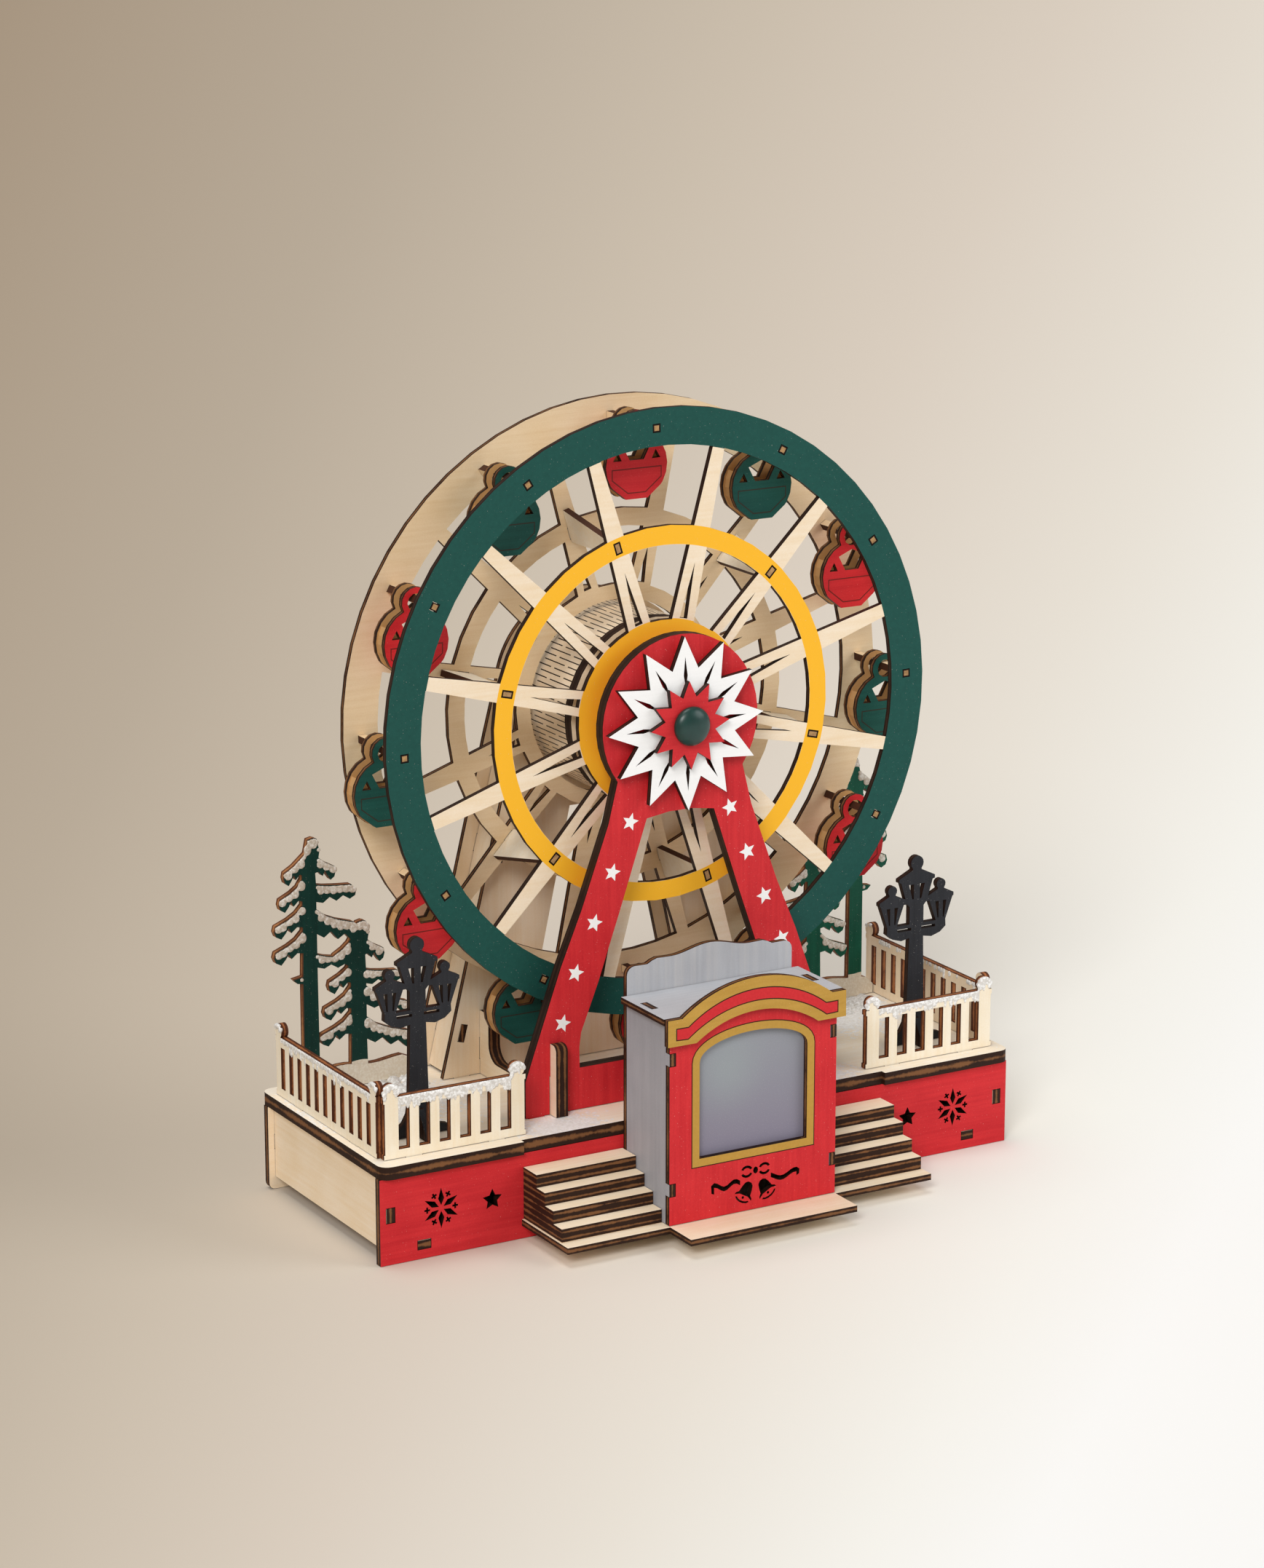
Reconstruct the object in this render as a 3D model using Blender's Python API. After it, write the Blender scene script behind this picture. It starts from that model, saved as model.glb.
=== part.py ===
"""A light-up wooden ferris wheel, cut from plywood sheets.

Units are metres and +Z is up. Depths are measured from the face of the front
base panel, towards the back, and the whole model is then centred in depth.
The wheel and its stars turn about an axle that runs from front to back, and
each gondola hangs on its own bar.
"""

import math

import bmesh
import bpy

# Sheets and clearance
PLY = 0.003
BOX_PLY = 0.004
FENCE_PLY = 0.0036
TREE_PLY = 0.0038
GAP = 0.0003
TAB_WIDTH = 0.008

# Base box
BASE_WIDTH = 0.330
BASE_TOP = 0.0398
BASE_DEPTH = 0.1167
SIDE_INSET = 0.0032
SIDE_LIFT = 0.006
SIDE_TAB_HEIGHT = 0.0067
SIDE_TAB_LIFT = 0.0194
FLOOR_LIFT = 0.0045
FLOOR_TAB_WIDTH = 0.0063
FLOOR_TAB_FROM_END = 0.0215
FLAKE_FROM_END = 0.030
FLAKE_LIFT = 0.0218
FLAKE_RADIUS = 0.0094
FLAKE_HUB = 0.0013
PETAL_HALF = 0.0015
PETAL_WIDE_AT = 0.0045
MARK_PLACE = 0.0069
MARK_REACH = 0.0014
MARK_HALF = 0.00045
STAR_HOLE_FROM_END = 0.0554
STAR_HOLE_LIFT = 0.0211
STAR_HOLE_RADIUS = 0.005
STAR_HOLE_INNER = 0.0025
PANEL_FOOT_RADIUS = 0.003

# Deck
DECK_PLIES = 2
DECK_FRONT_LIP = 0.0028
DECK_BACK_LIP = 0.0031
DECK_STEP = 0.095
DECK_CORNER = 0.005

# Platform and stairs
PLATFORM_LIFT = 0.0061
PLATFORM_FRONT = 0.060
PLATFORM_TAB_PLACE = 0.030
STAIR_BOARD_FRONT = 0.042
STAIR_BOARD_HALF = 0.095
STAIR_WIDTH = 0.0505
TREAD_COUNT = 4
TREAD_PLIES = 2
TREAD_FIRST = 0.035
TREAD_RUN = 0.0076

# Ticket booth
BOOTH_HALF = 0.04325
BOOTH_FRONT = 0.0411
BOOTH_TOP = 0.1055
ROOF_HALF = 0.0462
ROOF_TAB_WIDTH = 0.0096
ROOF_TAB_DEPTH = 0.0208
BOOTH_NOTCH_LOW = 0.0257
BOOTH_NOTCH_HIGH = 0.0861
BOOTH_NOTCH_HEIGHT = 0.0056
WINDOW_HALF = 0.028
WINDOW_SILL = 0.038
WINDOW_SHOULDER = 0.0828
WINDOW_PEAK = 0.0932
PANE_THICK = 0.0015
PANE_BORDER = 0.003
LAMP_BOARD_THICK = 0.0016
LAMP_BOARD_HALF = 0.022
LAMP_BOARD_LOW = 0.045
LAMP_BOARD_HIGH = 0.078
CROWN_HALF = 0.046
CROWN_LOW = 0.0933
CROWN_END_TOP = 0.1055
CROWN_PEAK = 0.1188
CROWN_ARCH_PEAK = 0.1035
CROWN_ARCH_HALF = 0.0315
CROWN_TOP_ARCH_HALF = 0.0387
BACK_HALF = 0.043
BACK_CORNER = 0.004
BACK_SHOULDER = 0.1186
BACK_STEP_HALF = 0.0325
BACK_LEDGE = 0.1204
BACK_LEDGE_HALF = 0.0275
BACK_RISE_HALF = 0.0205
BACK_PEAK = 0.1238
ORNAMENT_SHIFT = 0.0013
BELL_SPREAD = 0.0066
BELL_LIFT = 0.0158
BELL_MOUTH = 0.0049
BELL_HEIGHT = 0.0076
BELL_LEAN = 29
CLAPPER_RADIUS = 0.0007
BOW_SPREAD = 0.0046
BOW_LIFT = 0.0276
BOW_ACROSS = 0.0032
BOW_UP = 0.0029
BOW_BAND = 0.0012
RIBBON_START = 0.0080
RIBBON_LENGTH = 0.0135
RIBBON_LIFT = 0.0229
RIBBON_WAVE = 0.0013
RIBBON_HALF = 0.0011

# Axle and wheel
AXLE_RADIUS = 0.0025
REST_ANGLE = -1.65
SPOKES = 12
FRONT_PLATE_FACE = 0.0383
REAR_PLATE_FROM_TOWER = 0.010
HUB_RADIUS = 0.0436
MID_INNER = 0.0776
MID_OUTER = 0.0864
REAR_MID_INNER = 0.079
REAR_MID_OUTER = 0.0873
RIM_INNER = 0.1225
RIM_OUTER = 0.1395
SPOKE_HALF_AT_HUB = 0.0058
SPOKE_HALF_AT_RIM = 0.00305
SLIT_HALF = 0.00195
SLIT_TIP = 0.070
SLIT_BASE_GAP = 0.0008
REAR_RING_INNER = 0.0454
REAR_RING_OUTER = 0.0525
BAR_RADIUS = 0.1305
BAR_SIDE = 0.0034
SPACER_INNER = 0.0778
SPACER_FRONT_OUTER = 0.0846
SPACER_REAR_OUTER = 0.0933
SPACER_TAB_INNER = 0.0792
SPACER_TAB_OUTER = 0.0843

# Stars, knob and collars on the axle
WHITE_STAR_FACE = 0.0178
WHITE_STAR_RADIUS = 0.040
WHITE_STAR_INNER = 0.02575
RED_STAR_FACE = 0.0145
RED_STAR_RADIUS = 0.0203
RED_STAR_INNER = 0.01325
STAR_POINTS = 12
STAR_SLIT_START = 0.0185
STAR_SLIT_START_HALF = 0.0004
STAR_SLIT_WIDE_AT = 0.0223
STAR_SLIT_HALF = 0.001
STAR_SLIT_END = 0.031
KNOB_RADIUS = 0.009
KNOB_LENGTH = 0.0055
COLLAR_RADIUS = 0.006
AXLE_INTO_MOTOR = 0.010

# Front frame
FRAME_FACE = 0.02305
FRAME_PLIES = 2
FRAME_HEAD = 0.0401
FRAME_FOOT = 0.080
FRAME_FOOT_TOP = 0.0635
FRAME_SHIN_HALF = 0.0755
FRAME_SHIN_TOP = 0.0762
FRAME_CALF_HALF = 0.0617
FRAME_CALF_TOP = 0.1144
FRAME_THIGH_HALF = 0.051
FRAME_THIGH_TOP = 0.1396
FRAME_NECK_HALF = 0.0372
FRAME_NECK_TOP = 0.177
FRAME_KNEE_HALF = 0.0523
FRAME_KNEE_TOP = 0.0758
FRAME_BEAM_TOP = 0.0659
FRAME_WINDOW_BEND = 0.0824
FRAME_WINDOW_CALF = 0.0426
FRAME_WINDOW_CALF_TOP = 0.1047
FRAME_WINDOW_THIGH = 0.0313
FRAME_WINDOW_THIGH_TOP = 0.1366
FRAME_WINDOW_NECK = 0.0175
FRAME_WINDOW_NECK_TOP = 0.1772
FRAME_WINDOW_TOP_HALF = 0.006
FRAME_WINDOW_TOP = 0.1789
FRAME_LAP_TOP = 0.0642
FRAME_TAB_INNER = 0.022
FRAME_TAB_FROM_FOOT = 0.0055

# Side walls
WALL_PLACE = 0.0645
WALL_PLIES = 2
WALL_FRONT = 0.0174
WALL_TOP = 0.0797
WALL_BACK_TOP = 0.077
WALL_WINDOW_FRONT = 0.037
WALL_BACK_POST = 0.0085
WALL_WINDOW_LOW = 0.0546
WALL_WINDOW_CORNER = 0.008
WALL_CORNER = 0.003
WALL_TAB_FRONT = 0.040
WALL_TAB_FROM_TOWER = 0.014
WALL_TAB_LOW = 0.0535
WALL_TAB_HIGH = 0.0635

# Rear tower
TOWER_SPAN = 0.022
TOWER_FROM_BACK = 0.0047
TOWER_TAB_INNER = 0.030
TOWER_TAB_FROM_FOOT = 0.0095
TOWER_HEAD = 0.0455
TOWER_FOOT = 0.0866
TOWER_LEAN = 0.2495
TOWER_BACK_FOOT = 0.090
TOWER_BEAM_TOP = 0.067
TOWER_LEG = 0.0402
TOWER_INNER_LEAN = 0.2207
TOWER_WINDOW_TOP = 0.168
TOWER_SIDE_INSET = 0.0035
TOWER_SIDE_TOP = 0.190
TOWER_SIDE_TAB = 0.0671
TOWER_SIDE_TAB_HIGH = 0.150

# Drum and motor
DRUM_RADIUS = 0.043
DRUM_FACE = 0.0453
DRUM_CAP_PLIES = 2
DRUM_CAP_LIP = 0.0006
MOTOR_RADIUS = 0.017
MOTOR_FROM_CAP = 0.0107
MOTOR_SOCKET = 0.014

# Gondolas
GONDOLA_FROM_REAR = 0.0242
GONDOLA_CLEARANCE = 0.0085
GONDOLA_DEPTH = 0.0112
RING_DROP = 0.0013
RING_OUTER = 0.00695
RING_INNER = 0.00424
POD_DROP = 0.0182
POD_RADIUS = 0.01575
POD_FLOOR = 0.015
POD_FLOOR_HALF = 0.0055
POD_BILGE_HALF = 0.0122
POD_BILGE_LIFT = 0.0097
POD_WALL = 0.0026
POD_WINDOW_HALF = 0.0072

# Fences
FENCE_FACE = 0.0055
FENCE_FROM_END = 0.00585
FENCE_SLOTS = 6
FENCE_PITCH = 0.01005
FENCE_SLOT_WIDTH = 0.0055
FENCE_POST = 0.0066
FENCE_SLOT_LOW = 0.0042
FENCE_SLOT_HIGH = 0.0238
FENCE_RAIL = 0.0284
FENCE_BALL_LIFT = 0.0311
FENCE_BALL = 0.0034
FENCE_COLLAR = 0.0024
FENCE_PLINTH = 0.0022
FENCE_PROUD = 0.0006
FENCE_TAB_FROM_END = 0.014
SIDE_FENCE_TAB_FROM_END = 0.022
SIDE_FENCE_FRONT = 0.0102
SIDE_FENCE_SLOTS = 11
SIDE_FENCE_FROM_BACK = 0.0097
SIDE_FENCE_SLOT_WIDTH = 0.0042
SIDE_FENCE_POST = 0.0048
SIDE_FENCE_INSET = 0.0037

# Lamp posts
LAMP_FROM_END = 0.0338
LAMP_FACE = 0.0273
LAMP_FOOT_HALF = 0.0143
LAMP_FOOT_TOP = 0.015
LAMP_POST_HALF = 0.0049
LAMP_NECK_HALF = 0.0039
LAMP_ARM_DEPTH = 0.0066
LAMP_SIDE_PLACE = 0.0136
LAMP_SIDE_LOW = 0.0589
LAMP_SIDE_HIGH = 0.0695
LAMP_SIDE_BOTTOM = 0.0027
LAMP_SIDE_HALF = 0.0071
LAMP_SIDE_BALL = 0.0025
LAMP_TOP_LOW = 0.0699
LAMP_TOP_HIGH = 0.0795
LAMP_TOP_BOTTOM = 0.0056
LAMP_TOP_HALF = 0.010
LAMP_TOP_BALL = 0.0035
LAMP_EAVES = 0.0019
LAMP_CROSS_HALF = 0.010

# Trees
TREE_FROM_TOWER_BACK = 0.009
TREE_TALL_FROM_END = 0.0184
TREE_SMALL_FROM_END = 0.0424
TREE_TALL_TOP = 0.1665
TREE_TOP_STEP = 0.042
TREE_TALL_TRUNK = 0.0038
TREE_SMALL_TRUNK = 0.0042
TREE_TIER = 0.0122
TREE_FIRST_REACH = 0.0124
TREE_REACH_STEP = 0.0026
TREE_OUTER_LIMIT = 0.0179
TREE_SMALL_LIMIT = 0.0194
TREE_HOOK_FALL = 0.0165
TREE_LOW_FALL = 0.0547
TREE_MIDDLE_FALL = 0.0335
TREE_HIGH_FALL = 0.022
SMALL_LOW_FALL = 0.046
SMALL_MIDDLE_FALL = 0.0313
SMALL_HIGH_FALL = 0.0235
SMALL_LOW_REACH = 0.028
SMALL_MIDDLE_REACH = 0.0275
SMALL_HIGH_REACH = 0.0221
TREE_KNOT_REACH = 0.0086
TREE_KNOT_LIFT = 0.054
TREE_MOUND_TOP = 0.0565
TREE_MOUND_GAP = 0.003
TREE_MOUND_FROM_END = 0.0079
TREE_TAB_FROM_END = 0.012
TREE_SHAVE = 0.0001

# Battery box and switch
BATTERY_HALF = 0.060
BATTERY_FRONT = 0.030
BATTERY_FROM_BACK = 0.0217
BATTERY_TOP = 0.034
SWITCH_PLACE = 0.100
SWITCH_LIFT = 0.020
SWITCH_HALF = 0.0025
SWITCH_HEIGHT = 0.0036
SWITCH_FLANGE_HALF = 0.0072
SWITCH_TRAVEL = 0.0025
SWITCH_PROUD = 0.0018

# Heights and depths that follow from the sizes above
DECK_THICK = DECK_PLIES * PLY
DECK_LOW = BASE_TOP + GAP
DECK_TOP = DECK_LOW + DECK_THICK
STAND = DECK_TOP + GAP
AXLE_HEIGHT = DECK_TOP + GONDOLA_CLEARANCE + POD_FLOOR + POD_DROP + RING_DROP + BAR_RADIUS
HALF = BASE_WIDTH / 2
DECK_BACK = BASE_DEPTH + DECK_BACK_LIP
MID_DEPTH = (DECK_BACK - PLATFORM_FRONT) / 2
FLOOR_TAB_PLACE = HALF - FLOOR_TAB_FROM_END
FLAKE_PLACE = HALF - FLAKE_FROM_END
STAR_HOLE_PLACE = HALF - STAR_HOLE_FROM_END
LAMP_PLACE = HALF - LAMP_FROM_END
TREE_TALL_PLACE = HALF - TREE_TALL_FROM_END
TREE_SMALL_TOP = TREE_TALL_TOP - TREE_TOP_STEP
TREE_SMALL_PLACE = HALF - TREE_SMALL_FROM_END
TREE_MOUND_INNER = TOWER_BACK_FOOT + TREE_MOUND_GAP
TREE_MOUND_OUTER = HALF - TREE_MOUND_FROM_END
FENCE_LENGTH = 2 * FENCE_POST + (FENCE_SLOTS - 1) * FENCE_PITCH + FENCE_SLOT_WIDTH
FENCE_INNER = HALF - FENCE_FROM_END - FENCE_LENGTH
SIDE_FENCE_BACK = DECK_BACK - SIDE_FENCE_FROM_BACK
SIDE_FENCE_ROOM = SIDE_FENCE_BACK - SIDE_FENCE_FRONT - 2 * SIDE_FENCE_POST - SIDE_FENCE_SLOT_WIDTH
SIDE_FENCE_PITCH = SIDE_FENCE_ROOM / (SIDE_FENCE_SLOTS - 1)
TOWER_BACK_FACE = BASE_DEPTH - TOWER_FROM_BACK
TOWER_FACE = TOWER_BACK_FACE - TOWER_SPAN
TREE_FACE = TOWER_BACK_FACE - TREE_FROM_TOWER_BACK
REAR_PLATE_FACE = TOWER_FACE - REAR_PLATE_FROM_TOWER
GONDOLA_FACE = REAR_PLATE_FACE - GONDOLA_FROM_REAR
DRUM_CAP_BACK = DRUM_FACE + DRUM_CAP_PLIES * PLY
MOTOR_FACE = DRUM_CAP_BACK + MOTOR_FROM_CAP
AXLE_END = MOTOR_FACE + AXLE_INTO_MOTOR
WALL_WINDOW_BACK = TOWER_FACE - WALL_BACK_POST
BATTERY_BACK = BASE_DEPTH - BATTERY_FROM_BACK
FRAME_BACK = FRAME_FACE + FRAME_PLIES * PLY
WALL_THICK = WALL_PLIES * PLY
PLATFORM_TOP = PLATFORM_LIFT + PLY
BOOTH_LOW = PLATFORM_TOP + GAP
ROOF_LOW = BOOTH_TOP - PLY


def linear(code):
    """A hex colour as the linear values that a shader takes."""
    values = []
    for start in (0, 2, 4):
        part = int(code[start:start + 2], 16) / 255
        values.append(part / 12.92 if part <= 0.04045 else ((part + 0.055) / 1.055) ** 2.4)
    return (*values, 1.0)


def finish(name, code, roughness, metallic=0.0):
    """A Principled material of one colour."""
    material = bpy.data.materials.new(name)
    material.use_nodes = True
    shader = material.node_tree.nodes["Principled BSDF"]
    shader.inputs["Base Color"].default_value = linear(code)
    shader.inputs["Roughness"].default_value = roughness
    shader.inputs["Metallic"].default_value = metallic
    return material


def depth(distance):
    """A distance behind the front base panel's face as a world Y."""
    return distance - MID_DEPTH


def box(left, right, low, high):
    """The corners of an upright rectangle."""
    return [(left, low), (right, low), (right, high), (left, high)]


def arc(x, y, radius, start, end, steps):
    """Points on a circle between two angles in degrees, measured from +x towards +y."""
    points = []
    for step in range(steps + 1):
        angle = math.radians(start + (end - start) * step / steps)
        points.append((x + radius * math.cos(angle), y + radius * math.sin(angle)))
    return points


def circle(x, y, radius, steps):
    """A closed circle."""
    return arc(x, y, radius, 0, 360, steps)[:-1]


def polar(radius, turn):
    """A point at an angle in degrees clockwise from the top."""
    angle = math.radians(turn)
    return (radius * math.sin(angle), radius * math.cos(angle))


def polar_arc(radius, start, end, steps):
    """Points on a circle about the axle between two clockwise angles."""
    return [polar(radius, start + (end - start) * step / steps) for step in range(steps + 1)]


def flipped(points, side=-1):
    """The points mirrored to the left when side is -1."""
    return [(side * x, y) for x, y in points]


def both_sides(points):
    """A right-hand outline, listed from low to high, closed with its mirror image."""
    return points + flipped(reversed(points))


def tilted(points, x, y, degrees):
    """The points turned about (x, y), anticlockwise."""
    cosine = math.cos(math.radians(degrees))
    sine = math.sin(math.radians(degrees))
    moved = []
    for px, py in points:
        along = px - x
        up = py - y
        moved.append((x + along * cosine - up * sine, y + along * sine + up * cosine))
    return moved


def star(x, y, outer, inner, tips):
    """A star with one tip at the top."""
    points = []
    for step in range(2 * tips):
        radius = outer if step % 2 == 0 else inner
        across, up = polar(radius, step * 180 / tips)
        points.append((x + across, y + up))
    return points


def bottom_edge(left, right, low, places, reach, width=TAB_WIDTH):
    """An edge from left to right with a tab reaching down at each place."""
    points = [(left, low)]
    for place in sorted(places):
        points.append((place - width / 2, low))
        points.append((place - width / 2, low - reach))
        points.append((place + width / 2, low - reach))
        points.append((place + width / 2, low))
    points.append((right, low))
    return points


def sheet(name, outline, holes=(), thick=PLY):
    """A flat sheet cut to an outline with holes, in X-Y and centred on Z."""
    curve = bpy.data.curves.new(name, "CURVE")
    curve.dimensions = "2D"
    curve.fill_mode = "BOTH"
    curve.extrude = thick / 2
    for ring in [outline, *holes]:
        spline = curve.splines.new("POLY")
        spline.points.add(len(ring) - 1)
        for point, (x, y) in zip(spline.points, ring):
            point.co = (x, y, 0.0, 1.0)
        spline.use_cyclic_u = True
    pattern = bpy.data.objects.new(name, curve)
    mesh = bpy.data.meshes.new_from_object(pattern)
    bpy.data.objects.remove(pattern)
    bpy.data.curves.remove(curve)
    shape = bmesh.new()
    shape.from_mesh(mesh)
    bmesh.ops.remove_doubles(shape, verts=shape.verts, dist=0.000001)
    bmesh.ops.recalc_face_normals(shape, faces=shape.faces)
    caps = [face for face in shape.faces if abs(face.normal.z) > 0.9 or face.calc_area() < 1e-10]
    within = [edge for edge in shape.edges if all(face in caps for face in edge.link_faces)]
    bmesh.ops.beautify_fill(shape, faces=caps, edges=within, use_restrict_tag=False, method="ANGLE")
    shape.to_mesh(mesh)
    shape.free()
    mesh.name = name
    return mesh


def lathe(name, profile, steps, closed):
    """A profile of (radius, depth) points turned about Y. An open one starts and ends on the axis."""
    shape = bmesh.new()
    rings = []
    for radius, along in profile:
        if radius == 0:
            rings.append([shape.verts.new((0, along, 0))])
            continue
        ring = []
        for step in range(steps):
            angle = 2 * math.pi * step / steps
            ring.append(shape.verts.new((radius * math.sin(angle), along, radius * math.cos(angle))))
        rings.append(ring)
    pairs = list(zip(rings, rings[1:]))
    if closed:
        pairs.append((rings[-1], rings[0]))
    for first, second in pairs:
        for step in range(steps):
            after = (step + 1) % steps
            if len(first) == 1:
                shape.faces.new((first[0], second[step], second[after]))
            elif len(second) == 1:
                shape.faces.new((first[step], second[0], first[after]))
            else:
                shape.faces.new((first[step], second[step], second[after], first[after]))
    bmesh.ops.recalc_face_normals(shape, faces=shape.faces)
    mesh = bpy.data.meshes.new(name)
    shape.to_mesh(mesh)
    shape.free()
    mesh.shade_smooth()
    mesh.set_sharp_from_angle(angle=math.radians(35))
    return mesh


def add(name, mesh, material, place=(0, 0, 0), turn=(0, 0, 0), parent=None):
    """An object with its material, placed and turned, on an empty where it moves."""
    piece = bpy.data.objects.new(name, mesh)
    bpy.context.scene.collection.objects.link(piece)
    if not mesh.materials:
        mesh.materials.append(material)
    piece.location = place
    piece.rotation_euler = turn
    piece.parent = parent
    return piece


def stand(name, mesh, material, face, thick=PLY, x=0, z=0, parent=None):
    """A sheet stood up facing the front, with its front face at a depth."""
    place = (x, depth(face + thick / 2), z)
    if parent:
        place = (x, face + thick / 2, z)
    return add(name, mesh, material, place, (math.pi / 2, 0, 0), parent)


def side_on(name, mesh, material, x):
    """A sheet stood up along the depth, drawn as (distance from the front, height)."""
    return add(name, mesh, material, (x, -MID_DEPTH, 0), (math.pi / 2, 0, math.pi / 2))


def lay(name, mesh, material, low, thick=PLY):
    """A sheet laid flat, drawn as (x, distance from the front), with its underside at a height."""
    return add(name, mesh, material, (0, -MID_DEPTH, low + thick / 2))


def joined(piece, others, solver="EXACT"):
    """The piece with the other ones fused to it."""
    for other in others:
        union = piece.modifiers.new("Union", "BOOLEAN")
        union.operation = "UNION"
        union.solver = solver
        union.object = other
    bpy.context.view_layer.update()
    graph = bpy.context.evaluated_depsgraph_get()
    whole = bpy.data.meshes.new_from_object(piece.evaluated_get(graph))
    piece.modifiers.clear()
    piece.data = whole
    for other in others:
        bpy.data.objects.remove(other)
    return piece


def snowflake(x, y):
    """Six pointed petals round a centre, with a small cross between each two."""
    holes = []
    bend = (PETAL_WIDE_AT + FLAKE_RADIUS) / 2
    petal = [(PETAL_HALF, PETAL_WIDE_AT), (PETAL_HALF * 0.75, bend - FLAKE_HUB), (0, FLAKE_RADIUS)]
    petal = [(0, FLAKE_HUB)] + petal + flipped(reversed(petal[:-1]))
    half = MARK_HALF
    reach = MARK_REACH
    arm = [(half, half), (half, reach), (-half, reach)]
    for step in range(6):
        holes.append(tilted([(x + px, y + py) for px, py in petal], x, y, 60 * step))
        middle = y + MARK_PLACE
        mark = []
        for turn in (0, 90, 180, 270):
            mark += tilted([(x + px, middle + py) for px, py in arm], x, middle, turn)
        holes.append(tilted(mark, x, y, 60 * step + 30))
    return holes


def side_tab_spots():
    """The two heights' worth of tab at the ends of the base, as panel slots."""
    spots = []
    outer = HALF - SIDE_INSET + GAP
    inner = HALF - SIDE_INSET - BOX_PLY - GAP
    low = SIDE_TAB_LIFT - GAP
    high = SIDE_TAB_LIFT + SIDE_TAB_HEIGHT + GAP
    for side in (-1, 1):
        spots.append(flipped(box(inner, outer, low, high), side))
    return spots


def floor_tab_spots():
    """Slots for the floor board's tabs."""
    spots = []
    for side in (-1, 1):
        left = side * FLOOR_TAB_PLACE - FLOOR_TAB_WIDTH / 2 - GAP
        right = side * FLOOR_TAB_PLACE + FLOOR_TAB_WIDTH / 2 + GAP
        spots.append(box(left, right, FLOOR_LIFT - GAP, FLOOR_LIFT + BOX_PLY + GAP))
    return spots


def base_front(paint):
    """The front panel with its slots, snowflakes and stars."""
    outline = box(-HALF, HALF, 0, BASE_TOP)
    holes = side_tab_spots() + floor_tab_spots()
    for side in (-1, 1):
        middle = side * PLATFORM_TAB_PLACE
        left = middle - TAB_WIDTH / 2 - GAP
        right = middle + TAB_WIDTH / 2 + GAP
        holes.append(box(left, right, PLATFORM_LIFT - GAP, PLATFORM_TOP + GAP))
        holes.append(star(side * STAR_HOLE_PLACE, STAR_HOLE_LIFT, STAR_HOLE_RADIUS, STAR_HOLE_INNER, 5))
        holes += snowflake(side * FLAKE_PLACE, FLAKE_LIFT)
    mesh = sheet("base_front_panel", outline, holes, BOX_PLY)
    stand("base_front_panel", mesh, paint, 0, BOX_PLY)


def base_back(paint):
    """The back panel with rounded feet and a slot for the switch."""
    outline = arc(-HALF + PANEL_FOOT_RADIUS, PANEL_FOOT_RADIUS, PANEL_FOOT_RADIUS, 180, 270, 4)
    outline += arc(HALF - PANEL_FOOT_RADIUS, PANEL_FOOT_RADIUS, PANEL_FOOT_RADIUS, 270, 360, 4)
    outline += [(HALF, BASE_TOP), (-HALF, BASE_TOP)]
    reach = SWITCH_HALF + SWITCH_TRAVEL + GAP
    rise = SWITCH_HEIGHT / 2 + GAP
    slot = box(SWITCH_PLACE - reach, SWITCH_PLACE + reach, SWITCH_LIFT - rise, SWITCH_LIFT + rise)
    holes = side_tab_spots() + floor_tab_spots() + [slot]
    mesh = sheet("base_back_panel", outline, holes, BOX_PLY)
    stand("base_back_panel", mesh, paint, BASE_DEPTH - BOX_PLY, BOX_PLY)


def base_sides(paint):
    """The side boards, each with a tab through the front and back panels."""
    front = BOX_PLY + GAP
    back = BASE_DEPTH - BOX_PLY - GAP
    low = SIDE_TAB_LIFT
    high = SIDE_TAB_LIFT + SIDE_TAB_HEIGHT
    outline = [(front, SIDE_LIFT), (back, SIDE_LIFT), (back, low), (BASE_DEPTH, low)]
    outline += [(BASE_DEPTH, high), (back, high), (back, BASE_TOP), (front, BASE_TOP)]
    outline += [(front, high), (0, high), (0, low), (front, low)]
    for side, word in ((-1, "left"), (1, "right")):
        name = "base_side_" + word
        x = side * (HALF - SIDE_INSET - BOX_PLY / 2)
        side_on(name, sheet(name, outline, (), BOX_PLY), paint, x)


def base_floor(paint):
    """The floor board between the side boards, with tabs through both panels."""
    half = HALF - SIDE_INSET - BOX_PLY - GAP
    front = BOX_PLY + GAP
    back = BASE_DEPTH - BOX_PLY - GAP
    places = (-FLOOR_TAB_PLACE, FLOOR_TAB_PLACE)
    outline = bottom_edge(-half, half, front, places, front, FLOOR_TAB_WIDTH)
    rear = bottom_edge(-half, half, -back, places, BASE_DEPTH - back, FLOOR_TAB_WIDTH)
    outline += [(x, -y) for x, y in reversed(rear)]
    lay("base_floor", sheet("base_floor", outline, (), BOX_PLY), paint, FLOOR_LIFT, BOX_PLY)


def deck_slots():
    """A slot in the deck for every tab that stands in it."""
    slots = []
    reach = TAB_WIDTH / 2 + GAP

    def across(place, face, thick):
        slots.append(box(place - reach, place + reach, face - GAP, face + thick + GAP))

    def along(x, place, thick):
        slots.append(box(x - thick / 2 - GAP, x + thick / 2 + GAP, place - reach, place + reach))

    for side in (-1, 1):
        for place in fence_tabs():
            across(side * place, FENCE_FACE, FENCE_PLY)
        for place in frame_tabs():
            across(side * place, FRAME_FACE, FRAME_PLIES * PLY)
        for place in tower_tabs():
            across(side * place, TOWER_FACE, PLY)
            across(side * place, TOWER_BACK_FACE, PLY)
        for place in tree_tabs():
            across(side * place, TREE_FACE, TREE_PLY)
        across(side * LAMP_PLACE, LAMP_FACE, PLY)
        for place in wall_tabs():
            along(side * WALL_PLACE, place, WALL_THICK)
        for place in side_fence_tabs():
            along(side * (HALF - SIDE_FENCE_INSET - FENCE_PLY / 2), place, FENCE_PLY)
    return slots


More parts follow.
